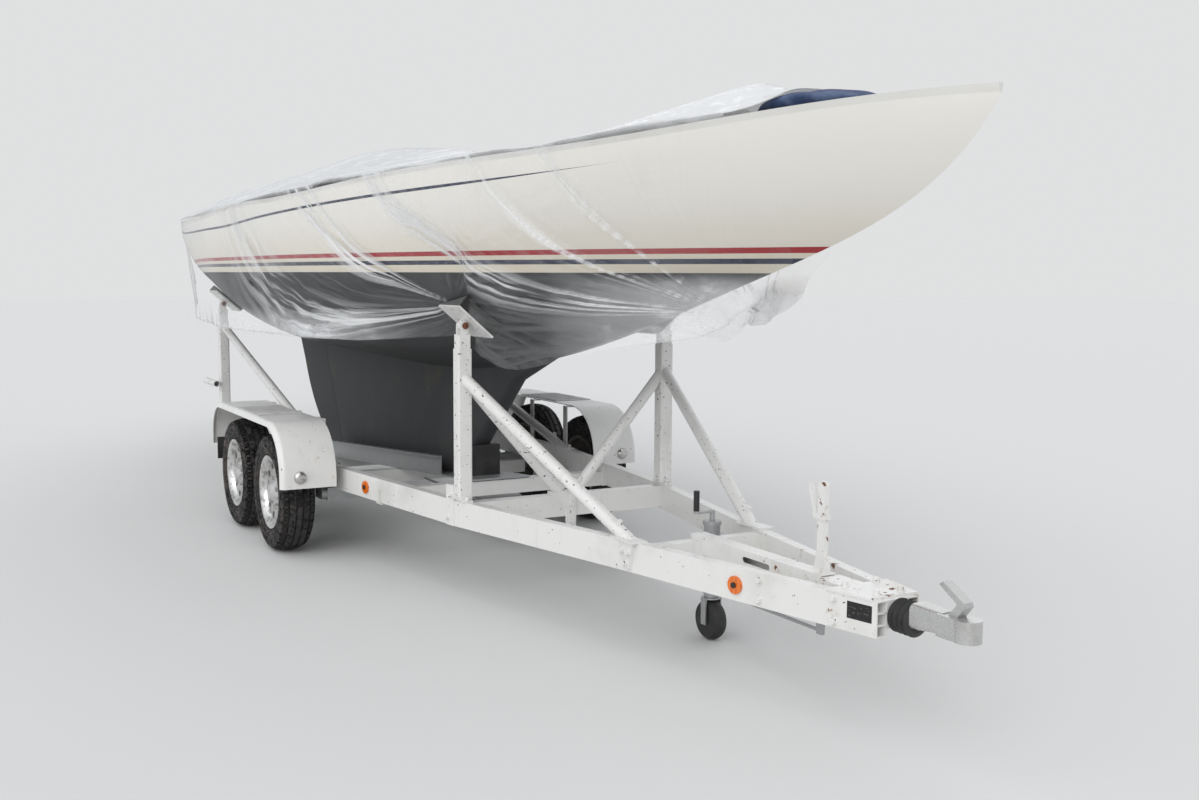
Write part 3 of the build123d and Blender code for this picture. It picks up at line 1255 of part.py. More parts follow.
with BuildPart() as coupling_head:
    with BuildSketch(Plane.YZ.offset(BELLOWS_FORE + 1.0)):
        with Locations((0.0, BALL_Z + 8.0)):
            RectangleRounded(76.0, 74.0, 20.0)
    with BuildSketch(Plane.YZ.offset(BALL_X - HEAD_NECK)):
        with Locations((0.0, BALL_Z + 12.0)):
            RectangleRounded(70.0, 62.0, 20.0)
    loft()
    with BuildSketch(Plane.XY.offset(HEAD_LOW)):
        with Locations((BALL_X, 0.0)):
            Circle(HEAD_NOSE_R)
        with Locations((BALL_X - HEAD_NECK - 12.0, 0.0)):
            Rectangle(HEAD_NECK + 12.0, 70.0, align=(Align.MIN, Align.CENTER))
    extrude(amount=HEAD_HIGH)
    with Locations((BALL_X, 0.0, BALL_Z)):
        Sphere(BALL_R + BALL_FIT, mode=Mode.SUBTRACT)
    with BuildSketch(Plane.XY.offset(HEAD_LOW - 22.0)):
        with Locations((BALL_X, 0.0)):
            Circle(BALL_R + BALL_FIT)
    extrude(amount=BALL_Z - HEAD_LOW + 22.0, mode=Mode.SUBTRACT)
    add(overrun_shaft.part, mode=Mode.SUBTRACT)
coupling_head.part.label = "coupling_head"
export_step(coupling_head.part, "parts/coupling_head.step")

# Handle of the coupling: points as distances aft of the ball and above the head's top
HANDLE = ((57.0, 0.2), (24.0, 0.2), (-2.0, 32.0), (2.0, 44.0), (80.0, 88.0), (94.0, 78.0), (26.0, 36.0))
HANDLE_WIDE = 34.0
with BuildPart() as coupling_handle:
    with BuildSketch(Plane.XZ.offset(-HANDLE_WIDE / 2)):
        with BuildLine():
            Polyline(*[(BALL_X - aft, HEAD_LOW + HEAD_HIGH + rise) for aft, rise in HANDLE], close=True)
        make_face()
    extrude(amount=HANDLE_WIDE)
coupling_handle.part.label = "coupling_handle"
export_step(coupling_handle.part, "parts/coupling_handle.step")

# Hand brake lever on the overrun tube, with the short release lever in its collar
LEVER_X = HOUSING_AFT - 30.0
LEVER_HIGH = 283.0
LEVER_HALF = 16.0
LEVER_THICK = 18.0
LEVER_FOOT_HALF, LEVER_FOOT_HIGH = 28.0, 34.0
COLLAR_Z, COLLAR_HIGH = 590.0, 16.0
RELEASE_LONG, RELEASE_WIDE, RELEASE_THICK = 110.0, 16.0, 10.0
RELEASE_LEAN = 18.0
with BuildPart() as brake_lever:
    with BuildSketch(Plane.XZ.offset(-LEVER_THICK / 2)):
        with BuildLine():
            foot, top = TUBE_TOP, TUBE_TOP + LEVER_HIGH
            Polyline((LEVER_X - LEVER_FOOT_HALF, foot), (LEVER_X + LEVER_FOOT_HALF, foot),
                     (LEVER_X + LEVER_FOOT_HALF, foot + LEVER_FOOT_HIGH / 2),
                     (LEVER_X + LEVER_HALF, foot + 2 * LEVER_FOOT_HIGH), (LEVER_X + LEVER_HALF, top),
                     (LEVER_X - LEVER_HALF, top), (LEVER_X - LEVER_HALF, foot + 2 * LEVER_FOOT_HIGH),
                     (LEVER_X - LEVER_FOOT_HALF, foot + LEVER_FOOT_HIGH / 2), close=True)
        make_face()
    extrude(amount=LEVER_THICK)
    fillet(brake_lever.edges().filter_by(Axis.Y).group_by(Axis.Z)[-1], radius=LEVER_HALF * 0.6)
    with BuildSketch(Plane.XY.offset(COLLAR_Z)):
        with Locations((LEVER_X, 0.0)):
            Rectangle(2 * LEVER_HALF + 8.0, LEVER_THICK + 8.0)
    extrude(amount=COLLAR_HIGH)
brake_lever.part.label = "brake_lever"
export_step(brake_lever.part, "parts/brake_lever.step")

release_foot = Plane(origin=(LEVER_X - LEVER_HALF - RELEASE_WIDE / 2 - 4.0, 0, COLLAR_Z), x_dir=(0, 1, 0),
                     z_dir=(-sin(radians(RELEASE_LEAN)), 0, cos(radians(RELEASE_LEAN))))
with BuildPart() as release_lever:
    with BuildSketch(release_foot):
        Rectangle(RELEASE_THICK, RELEASE_WIDE)
    extrude(amount=RELEASE_LONG)
    with BuildSketch(Plane.XY.offset(COLLAR_Z)):
        with Locations((LEVER_X - LEVER_HALF - 4.0, 0.0)):
            Rectangle(RELEASE_WIDE + 8.0, RELEASE_THICK, align=(Align.MAX, Align.CENTER))
    extrude(amount=COLLAR_HIGH)
    add(brake_lever.part, mode=Mode.SUBTRACT)
release_lever.part.label = "release_lever"
export_step(release_lever.part, "parts/release_lever.step")

# Brake rod, from the link under the overrun tube back to the middle keel beam
LINK_WIDE, LINK_THICK = 40.0, 12.0
rod_aft = KEEL_BEAM_X[1] + KEEL_BEAM_WIDE / 2
with BuildPart() as brake_rod:
    with BuildSketch(Plane.YZ.offset(rod_aft)):
        with Locations((0.0, ROD_Z)):
            Circle(ROD_R)
    extrude(amount=LEVER_X - rod_aft)
    with BuildSketch(Plane.XZ.offset(-LINK_THICK / 2)):
        with BuildLine():
            Polyline((LEVER_X - LINK_WIDE / 2, TUBE_TOP - TUBE_HIGH), (LEVER_X + LINK_WIDE / 2, TUBE_TOP - TUBE_HIGH),
                     (LEVER_X + LINK_WIDE / 3, ROD_Z - 2 * ROD_R), (LEVER_X - LINK_WIDE / 3, ROD_Z - 2 * ROD_R),
                     close=True)
        make_face()
    extrude(amount=LINK_THICK)
brake_rod.part.label = "brake_rod"
export_step(brake_rod.part, "parts/brake_rod.step")

# Jockey wheel: a clamped sleeve, a crank, and a leg that slides in it with a swivelling fork
JOCKEY = (3036.0, 113.0)
SLEEVE_R = 30.0
SLEEVE_WALL = 4.0
SLEEVE_LOW, SLEEVE_TOP = 172.0, 430.0
LEG_R = SLEEVE_R - SLEEVE_WALL - 0.1
LEG_LOW = 160.0
JOCKEY_WHEEL_R = 75.0
JOCKEY_WHEEL_WIDE = 50.0
JOCKEY_AXLE_R = 8.0
FORK_TOP = LEG_LOW - 0.5
CLAMP_LOW, CLAMP_HIGH, CLAMP_WIDE = 340.0, 60.0, 54.0
with BuildPart() as jockey_sleeve:
    with BuildSketch(Plane.XY.offset(SLEEVE_LOW)):
        with Locations(JOCKEY):
            Circle(SLEEVE_R)
    extrude(amount=SLEEVE_TOP - SLEEVE_LOW)
    with BuildSketch(Plane.XY.offset(CLAMP_LOW)):
        with Locations(JOCKEY):
            Rectangle(JOCKEY_BEAM_AFT - JOCKEY[0], CLAMP_WIDE, align=(Align.MIN, Align.CENTER))
            Circle(SLEEVE_R + 9.0)
    extrude(amount=CLAMP_HIGH)
    with BuildSketch(Plane.XY.offset(SLEEVE_LOW)):
        with Locations(JOCKEY):
            Circle(SLEEVE_R - SLEEVE_WALL)
    extrude(amount=SLEEVE_TOP - SLEEVE_LOW, mode=Mode.SUBTRACT)
jockey_sleeve.part.label = "jockey_sleeve"
export_step(jockey_sleeve.part, "parts/jockey_sleeve.step")

CRANK_ARM = 70.0
with BuildPart() as jockey_crank:
    with BuildSketch(Plane.XY.offset(SLEEVE_TOP)):
        with Locations(JOCKEY):
            Circle(SLEEVE_R + 4.0)
    extrude(amount=14.0)
    with BuildSketch(Plane.XY.offset(SLEEVE_TOP + 14.0)):
        with Locations(JOCKEY):
            Circle(9.0)
    extrude(amount=30.0)
    with BuildSketch(Plane.XY.offset(SLEEVE_TOP + 44.0)):
        with Locations((JOCKEY[0], JOCKEY[1] - CRANK_ARM / 2)):
            SlotOverall(CRANK_ARM + 20.0, 20.0, rotation=90)
    extrude(amount=8.0)
    with BuildSketch(Plane.XY.offset(SLEEVE_TOP + 52.0)):
        with Locations((JOCKEY[0], JOCKEY[1] - CRANK_ARM)):
            Circle(11.0)
    extrude(amount=77.0)
jockey_crank.part.label = "jockey_crank"
export_step(jockey_crank.part, "parts/jockey_crank.step")

with BuildPart() as jockey_leg:
    with BuildSketch(Plane.XY.offset(LEG_LOW)):
        with Locations(JOCKEY):
            Circle(LEG_R)
    extrude(amount=240.0)
jockey_leg.part.label = "jockey_leg"
export_step(jockey_leg.part, "parts/jockey_leg.step")

FORK_PLATE = 5.0
CHEEK_Y = JOCKEY_WHEEL_WIDE / 2 + 5.0
with BuildPart() as jockey_fork:
    with BuildSketch(Plane.XY.offset(FORK_TOP - FORK_PLATE)):
        with Locations(JOCKEY):
            Circle(CHEEK_Y + FORK_PLATE)
    extrude(amount=FORK_PLATE)
    for side in (-1, 1):
        with BuildSketch(Plane.XZ.offset(-(JOCKEY[1] + side * (CHEEK_Y + FORK_PLATE / 2) + FORK_PLATE / 2))):
            with BuildLine():
                Polyline((JOCKEY[0] - 17.0, FORK_TOP), (JOCKEY[0] + 17.0, FORK_TOP),
                         (JOCKEY[0] + 14.0, JOCKEY_WHEEL_R - 16.0), (JOCKEY[0] - 14.0, JOCKEY_WHEEL_R - 16.0), close=True)
            make_face()
        extrude(amount=FORK_PLATE)
    with BuildSketch(Plane.XZ.offset(-(JOCKEY[1] + CHEEK_Y + FORK_PLATE))):
        with Locations((JOCKEY[0], JOCKEY_WHEEL_R)):
            Circle(JOCKEY_AXLE_R)
    extrude(amount=2 * (CHEEK_Y + FORK_PLATE))
jockey_fork.part.label = "jockey_fork"
export_step(jockey_fork.part, "parts/jockey_fork.step")

with BuildPart() as jockey_wheel:
    with BuildSketch(Plane.YZ.offset(JOCKEY[0])):
        with BuildLine():
            half = JOCKEY_WHEEL_WIDE / 2
            inner_z = JOCKEY_WHEEL_R + JOCKEY_AXLE_R + 0.1
            Line((JOCKEY[1] - half, inner_z), (JOCKEY[1] + half, inner_z))
            Line((JOCKEY[1] + half, inner_z), (JOCKEY[1] + half, JOCKEY_WHEEL_R * 2 - 10.0))
            ThreePointArc((JOCKEY[1] + half, JOCKEY_WHEEL_R * 2 - 10.0), (JOCKEY[1], JOCKEY_WHEEL_R * 2),
                          (JOCKEY[1] - half, JOCKEY_WHEEL_R * 2 - 10.0))
            Line((JOCKEY[1] - half, JOCKEY_WHEEL_R * 2 - 10.0), (JOCKEY[1] - half, inner_z))
        make_face()
    revolve(axis=Axis((JOCKEY[0], 0, JOCKEY_WHEEL_R), (0, 1, 0)))
jockey_wheel.part.label = "jockey_wheel"
export_step(jockey_wheel.part, "parts/jockey_wheel.step")
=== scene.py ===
"""Looks of a long-keeled racing keelboat under a clear film cover, on its twin-axle road trailer.

Metres. +X points to the bow, +Y to port, +Z up, and the ground is at 0.
"""
import math
import random

import bpy
import numpy as np
from mathutils import Matrix, Vector
from mathutils.bvhtree import BVHTree


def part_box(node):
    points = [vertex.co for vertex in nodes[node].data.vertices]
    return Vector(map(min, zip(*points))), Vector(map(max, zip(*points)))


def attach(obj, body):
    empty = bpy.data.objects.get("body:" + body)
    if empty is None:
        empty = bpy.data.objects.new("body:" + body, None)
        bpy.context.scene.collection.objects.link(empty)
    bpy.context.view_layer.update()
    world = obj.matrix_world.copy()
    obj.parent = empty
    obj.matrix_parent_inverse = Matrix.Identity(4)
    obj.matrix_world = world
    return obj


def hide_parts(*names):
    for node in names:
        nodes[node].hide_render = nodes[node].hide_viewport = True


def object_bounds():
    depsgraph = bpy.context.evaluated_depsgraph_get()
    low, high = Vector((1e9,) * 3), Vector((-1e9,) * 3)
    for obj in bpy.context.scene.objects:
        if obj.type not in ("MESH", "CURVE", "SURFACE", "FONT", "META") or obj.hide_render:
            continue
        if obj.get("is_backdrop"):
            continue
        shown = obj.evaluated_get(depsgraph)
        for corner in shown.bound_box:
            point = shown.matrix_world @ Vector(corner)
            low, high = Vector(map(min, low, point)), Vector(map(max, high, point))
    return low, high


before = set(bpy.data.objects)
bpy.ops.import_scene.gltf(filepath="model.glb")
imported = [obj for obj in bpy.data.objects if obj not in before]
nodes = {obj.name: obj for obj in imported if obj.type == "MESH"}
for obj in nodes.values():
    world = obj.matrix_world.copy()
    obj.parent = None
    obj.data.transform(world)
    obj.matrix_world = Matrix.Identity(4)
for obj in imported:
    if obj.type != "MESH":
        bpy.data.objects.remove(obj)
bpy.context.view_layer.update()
bpy.ops.object.select_all(action="DESELECT")

# Camera. It stands off the starboard bow at eye height and looks aft along the boat. Its turn is
# given by where it looks in plan, how far down, and how far it leans, in radians.
CAMERA_PLACE = Vector((6.758, -2.465, 1.330))
CAMERA_YAW = 2.627636
CAMERA_PITCH = -0.0985263
CAMERA_ROLL = 0.0054086
CAMERA_LENS = 37.52
SENSOR = 36.0
VIEW_DEPTH = 200.0

ahead = Vector((math.cos(CAMERA_YAW) * math.cos(CAMERA_PITCH),
                math.sin(CAMERA_YAW) * math.cos(CAMERA_PITCH),
                math.sin(CAMERA_PITCH)))
level = Vector((math.sin(CAMERA_YAW), -math.cos(CAMERA_YAW), 0.0))
upright = level.cross(ahead)
right = level * math.cos(CAMERA_ROLL) + upright * math.sin(CAMERA_ROLL)
top = upright * math.cos(CAMERA_ROLL) - level * math.sin(CAMERA_ROLL)
lens = bpy.data.cameras.new("camera")
lens.lens = CAMERA_LENS
lens.sensor_width = SENSOR
lens.clip_end = VIEW_DEPTH
camera = bpy.data.objects.new("camera", lens)
camera.matrix_world = Matrix.Translation(CAMERA_PLACE) @ Matrix((right, top, -ahead)).transposed().to_4x4()
bpy.context.scene.collection.objects.link(camera)
bpy.context.scene.camera = camera
bpy.context.scene.view_settings.view_transform = "Standard"

# Yard. A wide pale floor under an even, overcast sky. Beyond the floor the camera sees a plain pale
# backdrop, and the sky and three wide, soft suns give the light.
SKY_COLOUR = (0.94, 0.965, 1.0, 1.0)
SKY_STRENGTH = 0.66
BACKDROP = (0.745, 0.75, 0.755, 1.0)
FLOOR_COLOUR = (0.68, 0.678, 0.672, 1.0)
FLOOR_ROUGH = 0.9
FLOOR_SIDE = 120.0


def wire(tree, kind, inputs=None, **settings):
    """A shader node with its settings, and each input set to a value or linked to a socket."""
    made = tree.nodes.new(kind)
    for name, value in settings.items():
        setattr(made, name, value)
    for socket, value in (inputs or {}).items():
        if isinstance(value, bpy.types.NodeSocket):
            tree.links.new(value, made.inputs[socket])
        else:
            made.inputs[socket].default_value = value
    return made


sky = bpy.data.worlds.new("sky")
bpy.context.scene.world = sky
sky.use_nodes = True
tree = sky.node_tree
tree.nodes.clear()
seen = wire(tree, "ShaderNodeLightPath")
lit = wire(tree, "ShaderNodeBackground", {"Color": SKY_COLOUR, "Strength": SKY_STRENGTH})
behind = wire(tree, "ShaderNodeBackground", {"Color": BACKDROP, "Strength": 1.0})
shown = wire(tree, "ShaderNodeMixShader", {0: seen.outputs["Is Camera Ray"], 1: lit.outputs[0],
                                           2: behind.outputs[0]})
wire(tree, "ShaderNodeOutputWorld", {"Surface": shown.outputs[0]})

bpy.ops.mesh.primitive_plane_add(size=FLOOR_SIDE, location=(0.0, 0.0, 0.0))
floor = bpy.context.active_object
floor.name = "floor"
paving = bpy.data.materials.new("pale_floor")
paving.use_nodes = True
paving_shader = paving.node_tree.nodes["Principled BSDF"]
paving_shader.inputs["Base Color"].default_value = FLOOR_COLOUR
paving_shader.inputs["Roughness"].default_value = FLOOR_ROUGH
floor.data.materials.append(paving)
floor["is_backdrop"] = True

# Suns, which light the floor evenly out to the horizon: name, where from, spread in degrees, strength
LAMPS = (
    ("overhead", (0.3, -0.5, 1.0), 75.0, 0.85),
    ("starboard_front", (1.0, -1.1, 0.7), 50.0, 0.95),
    ("port_back", (-0.8, 1.0, 0.8), 60.0, 0.40),
)
for name, source, spread, power in LAMPS:
    lamp = bpy.data.lights.new(name, "SUN")
    lamp.energy = power
    lamp.angle = math.radians(spread)
    holder = bpy.data.objects.new(name, lamp)
    holder.rotation_euler = Vector(source).to_track_quat("Z", "Y").to_euler()
    bpy.context.scene.collection.objects.link(holder)

# Hull. A moulded glass-fibre shell with a polished off-white gelcoat. A navy cove line runs below
# the sheer, and red and navy boot-top stripes run round it above the charcoal bottom paint.
GELCOAT = (0.80, 0.782, 0.735, 1.0)
CREAM = (0.74, 0.68, 0.56, 1.0)
STRIPE_RED = (0.36, 0.012, 0.018, 1.0)
NAVY = (0.018, 0.026, 0.060, 1.0)
BOTTOM_PAINT = (0.030, 0.031, 0.033, 1.0)
WEATHERED = (0.72, 0.68, 0.60, 1.0)
WATER_STAIN = (0.55, 0.50, 0.42, 1.0)
SCUFFED_PAINT = (0.050, 0.048, 0.045, 1.0)
GELCOAT_ROUGH, PAINT_ROUGH = 0.24, 0.62
BOTTOM_TOP = 1.343
NAVY_STRIPE = (1.372, 1.389)
RED_STRIPE = (1.405, 1.423)
COVE_DROP = 0.080
COVE_HALF = 0.0055
COVE_FORE = 3.35
COVE_TAPER = 1.1
LINE_SOFT = 0.001
# Painted shade: from the first height down to the second the gelcoat is painted darker and warmer, for the
# shade on the lower topsides
LOWER_SHADE = (1.60, 1.44)
# Sheer of the hull: x, height
SHEER = ((-4.5, 1.786), (-3.6, 1.749), (-2.6, 1.710), (-1.6, 1.673), (-0.5, 1.660), (0.7, 1.688),
         (1.9, 1.727), (2.84, 1.753), (3.6, 1.788), (4.5, 1.826))
SHEER_LOW, SHEER_HIGH = 1.6, 1.9


def material(name, rough, metal=0.0, coat=0.0):
    """A new material, its tree, its shader and the object coordinates that its patterns follow."""
    made = bpy.data.materials.new(name)
    made.use_nodes = True
    tree = made.node_tree
    shader = tree.nodes["Principled BSDF"]
    shader.inputs["Roughness"].default_value = rough
    shader.inputs["Metallic"].default_value = metal
    shader.inputs["Coat Weight"].default_value = coat
    shader.inputs["Coat Roughness"].default_value = 0.08
    return made, tree, shader, wire(tree, "ShaderNodeTexCoord").outputs["Object"]


def noise(tree, where, scale, detail=4.0, stretch=(1.0, 1.0, 1.0), rough=0.55):
    """Soft noise from 0 to 1 on a stretched pattern."""
    turned = wire(tree, "ShaderNodeMapping", {"Vector": where, "Scale": stretch})
    made = wire(tree, "ShaderNodeTexNoise", {"Vector": turned.outputs[0], "Scale": scale, "Detail": detail,
                                             "Roughness": rough})
    return made.outputs["Fac"]


def step(tree, value, low, high):
    """Smooth step of a value from 0 at low to 1 at high."""
    made = wire(tree, "ShaderNodeMapRange", {"Value": value, "From Min": low, "From Max": high},
                interpolation_type="SMOOTHSTEP")
    return made.outputs[0]


def math_of(tree, operation, a, b=0.0):
    """One sum on two values."""
    return wire(tree, "ShaderNodeMath", {0: a, 1: b}, operation=operation).outputs[0]


def mixed(tree, share, a, b):
    """Colour a where the share is 0 and colour b where it is 1."""
    return wire(tree, "ShaderNodeMix", {0: share, 6: a, 7: b}, data_type="RGBA").outputs[2]


def raised(tree, shader, height, distance, strength=0.5):
    """Bump from a height."""
    made = wire(tree, "ShaderNodeBump", {"Height": height, "Distance": distance, "Strength": strength})
    tree.links.new(made.outputs[0], shader.inputs["Normal"])


def part_of(tree, vector, axis):
    """One part of a vector: X, Y or Z."""
    return wire(tree, "ShaderNodeSeparateXYZ", {0: vector}).outputs[axis]


def roughened(tree, shader, share, low, high):
    """Roughness that is low where the share is 0 and high where it is 1."""
    made = wire(tree, "ShaderNodeMapRange", {"Value": share, "To Min": low, "To Max": high})
    tree.links.new(made.outputs[0], shader.inputs["Roughness"])


def band(tree, height, low, high, soft=0.0008):
    """1 between two heights."""
    return math_of(tree, "MULTIPLY", step(tree, height, low - soft, low + soft),
                   step(tree, height, high + soft, high - soft))


def dress(names, finish):
    """Gives CAD nodes a finish in each of their material slots."""
    for name in names:
        for holder in nodes[name].material_slots:
            holder.material = finish


gelcoat, tree, shader, where = material("gelcoat", GELCOAT_ROUGH, coat=0.12)
parts = wire(tree, "ShaderNodeSeparateXYZ", {0: where})
x_at, z_at = parts.outputs["X"], parts.outputs["Z"]
share = wire(tree, "ShaderNodeMapRange", {"Value": x_at, "From Min": SHEER[0][0],
                                          "From Max": SHEER[-1][0]}).outputs[0]
sheer_line = wire(tree, "ShaderNodeFloatCurve", {"Value": share})
curve = sheer_line.mapping.curves[0]
for spot, (x, z) in enumerate(SHEER):
    place = ((x - SHEER[0][0]) / (SHEER[-1][0] - SHEER[0][0]),
             (z - SHEER_LOW) / (SHEER_HIGH - SHEER_LOW))
    if spot in (0, len(SHEER) - 1):
        curve.points[0 if spot == 0 else -1].location = place
    else:
        curve.points.new(*place)
sheer_line.mapping.update()
sheer_z = wire(tree, "ShaderNodeMapRange", {"Value": sheer_line.outputs[0], "To Min": SHEER_LOW,
                                            "To Max": SHEER_HIGH}).outputs[0]
below = math_of(tree, "SUBTRACT", sheer_z, z_at)
off_line = math_of(tree, "ABSOLUTE", math_of(tree, "SUBTRACT", below, COVE_DROP))
width = math_of(tree, "MULTIPLY", step(tree, x_at, COVE_FORE, COVE_FORE - COVE_TAPER), COVE_HALF)
cove = math_of(tree, "LESS_THAN", off_line, width)
weather = step(tree, noise(tree, where, 1.3, 6.0, (0.5, 1.0, 2.0)), 0.42, 0.78)
stains = step(tree, noise(tree, where, 7.0, 5.0, (1.0, 1.0, 0.22)), 0.55, 0.80)
colour = mixed(tree, math_of(tree, "MULTIPLY", weather, 0.35), GELCOAT, WEATHERED)
colour = mixed(tree, math_of(tree, "MULTIPLY", stains, 0.16), colour, WATER_STAIN)
# Painted shade, darker and warmer, on the lower topsides
colour = mixed(tree, step(tree, z_at, *LOWER_SHADE), colour, mixed(tree, 0.55, GELCOAT, CREAM))
colour = mixed(tree, step(tree, z_at, RED_STRIPE[0] + LINE_SOFT, RED_STRIPE[0] - LINE_SOFT), colour, CREAM)
colour = mixed(tree, cove, colour, NAVY)
colour = mixed(tree, band(tree, z_at, *RED_STRIPE), colour, STRIPE_RED)
colour = mixed(tree, band(tree, z_at, *NAVY_STRIPE), colour, NAVY)
scuffed = step(tree, noise(tree, where, 5.0, 8.0, (1.0, 1.0, 0.6)), 0.50, 0.75)
bottom = mixed(tree, math_of(tree, "MULTIPLY", scuffed, 0.4), BOTTOM_PAINT, SCUFFED_PAINT)
below_paint = step(tree, z_at, BOTTOM_TOP + LINE_SOFT, BOTTOM_TOP - LINE_SOFT)
colour = mixed(tree, below_paint, colour, bottom)
tree.links.new(colour, shader.inputs["Base Color"])
roughened(tree, shader, below_paint, GELCOAT_ROUGH, PAINT_ROUGH)
drops = wire(tree, "ShaderNodeTexVoronoi", {"Vector": where, "Scale": 55.0, "Randomness": 1.0}, feature="F1")
beads = step(tree, drops.outputs["Distance"], 0.16, 0.05)
bead_area = step(tree, noise(tree, where, 9.0, 3.0), 0.52, 0.62)
beads = math_of(tree, "MULTIPLY", beads, bead_area)
fair = noise(tree, where, 2.2, 2.0)
raised(tree, shader, math_of(tree, "ADD", math_of(tree, "MULTIPLY", beads, 0.0012),
                             math_of(tree, "MULTIPLY", fair, 0.004)), 1.0, 0.6)
dress(["hull"], gelcoat)

# Deck, cockpit, coaming and cuddy. Moulded in the same glass fibre, matt where it is walked on,
# with a varnished coaming board. All of it is under the cover.
DECK_PAINT = (0.70, 0.69, 0.66, 1.0)
TRODDEN = (0.50, 0.48, 0.44, 1.0)
VARNISHED = (0.30, 0.12, 0.035, 1.0)
DARK_GRAIN = (0.17, 0.055, 0.016, 1.0)

deck_paint, tree, shader, where = material("deck_paint", 0.55)
grit = noise(tree, where, 420.0, 2.0)
soil = step(tree, noise(tree, where, 2.6, 6.0), 0.45, 0.75)
tree.links.new(mixed(tree, math_of(tree, "MULTIPLY", soil, 0.5), DECK_PAINT, TRODDEN),
               shader.inputs["Base Color"])
raised(tree, shader, grit, 0.0006, 0.7)
dress(["deck", "cockpit_tub", "cuddy"], deck_paint)

varnish, tree, shader, where = material("varnished_mahogany", 0.30, coat=0.8)
grain = wire(tree, "ShaderNodeTexWave", {"Vector": where, "Scale": 22.0, "Distortion": 7.0, "Detail": 4.0,
                                         "Detail Scale": 0.6}, bands_direction="Z")
tree.links.new(mixed(tree, grain.outputs["Fac"], VARNISHED, DARK_GRAIN), shader.inputs["Base Color"])
raised(tree, shader, grain.outputs["Fac"], 0.0004, 0.4)
dress(["coaming", "tiller"], varnish)

# Keel, its cast ballast and the rudder. Faired and rolled with charcoal bottom paint, which has
# chalked, with old algae stains, the roller's texture and a few nicks down to the filler.
KEEL_PAINT = (0.031, 0.032, 0.035, 1.0)
CHALKED = (0.058, 0.058, 0.060, 1.0)
ALGAE = (0.060, 0.068, 0.030, 1.0)
NICKED = (0.22, 0.21, 0.19, 1.0)

keel_paint, tree, shader, where = material("keel_paint", 0.66)
roller = noise(tree, where, 160.0, 3.0)
patch = step(tree, noise(tree, where, 3.4, 7.0), 0.57, 0.72)
chalk = step(tree, noise(tree, where, 1.6, 8.0, (1.0, 1.0, 0.5)), 0.45, 0.80)
colour = mixed(tree, math_of(tree, "MULTIPLY", chalk, 0.55), KEEL_PAINT, CHALKED)
colour = mixed(tree, math_of(tree, "MULTIPLY", patch, 0.55), colour, ALGAE)
nick = step(tree, noise(tree, where, 34.0, 2.0), 0.77, 0.80)
colour = mixed(tree, math_of(tree, "MULTIPLY", nick, 0.6), colour, NICKED)
tree.links.new(colour, shader.inputs["Base Color"])
raised(tree, shader, math_of(tree, "ADD", math_of(tree, "MULTIPLY", roller, 0.3), chalk), 0.0012, 0.6)
dress(["keel", "ballast", "rudder"], keel_paint)

# Boom and its crutch. The boom is a drawn tube, anodised silver, and serves as the ridge of the
# cover. The crutch that holds its after end is sawn pine, left bare.
SPAR_GREY, SPAR_PALE = (0.60, 0.61, 0.62, 1.0), (0.72, 0.72, 0.71, 1.0)
PINE_PALE, PINE_RING = (0.50, 0.36, 0.20, 1.0), (0.36, 0.23, 0.11, 1.0)

anodised, tree, shader, where = material("anodised_spar", 0.34, metal=0.9)
drawn = noise(tree, where, 60.0, 3.0, (0.05, 1.0, 1.0))
tree.links.new(mixed(tree, drawn, SPAR_GREY, SPAR_PALE), shader.inputs["Base Color"])
raised(tree, shader, drawn, 0.0003, 0.4)
dress(["boom"], anodised)

pine, tree, shader, where = material("sawn_pine", 0.72)
rings = wire(tree, "ShaderNodeTexWave", {"Vector": where, "Scale": 14.0, "Distortion": 5.0, "Detail": 3.0},
             bands_direction="Y")
tree.links.new(mixed(tree, rings.outputs["Fac"], PINE_PALE, PINE_RING), shader.inputs["Base Color"])
raised(tree, shader, rings.outputs["Fac"], 0.0006, 0.5)
dress(["boom_crutch"], pine)

# Film cover. One clear plastic sheet, thrown over the boom and a peak on the foredeck, that falls down
# both topsides. It is trapped under the two forward pads and gathered under the stem, and fans of thin
# folds run out of both places, drawn as white lines that are partly creased film and partly painted
# highlights. It hangs past the rear pads. Its top is painted near white, a painted highlight, and over
# the stern it is painted whiter, a painted reflection where the sheet is seen at a grazing angle.
FILM_AFT, FILM_FORE = -4.27, 3.70
COLUMNS = 330
TOP_ROWS, SIDE_ROWS = 17, 46
FILM_GAP = 0.004
FILM_THICK = 0.0006
FILM_COLOUR = (0.90, 0.91, 0.92, 1.0)
# Rays at the hull start this far off, and this far below the sheer at its edge
LOOK_FROM = 3.0
SHEER_STEP = 0.012
SINK_PASSES = 14
# How far folds stand off: fans at the pinches, sway, gathers at the hem, lumps over the deck
FAN_LIFT, SWAY_LIFT, HEM_LIFT, LUMP_LIFT = 0.020, 0.010, 0.016, 0.016
# Half of the film's stretch that a forward pad traps, the run out of it, and the height it starts at
TRAPPED_HALF, TRAPPED_RUN = 0.135, 0.10
FREE_BELOW = 1.34
# Height of the cover over the middle line: x, height
RIDGE = ((-4.27, 1.850), (-3.84, 1.942), (-2.57, 1.998), (-1.35, 2.008), (-0.72, 2.042), (0.05, 2.032),
         (0.59, 1.990), (0.98, 1.948), (1.37, 1.896), (1.90, 1.802), (2.40, 1.800), (2.82, 1.868),
         (3.09, 1.912), (3.43, 1.952), (3.70, 1.880))
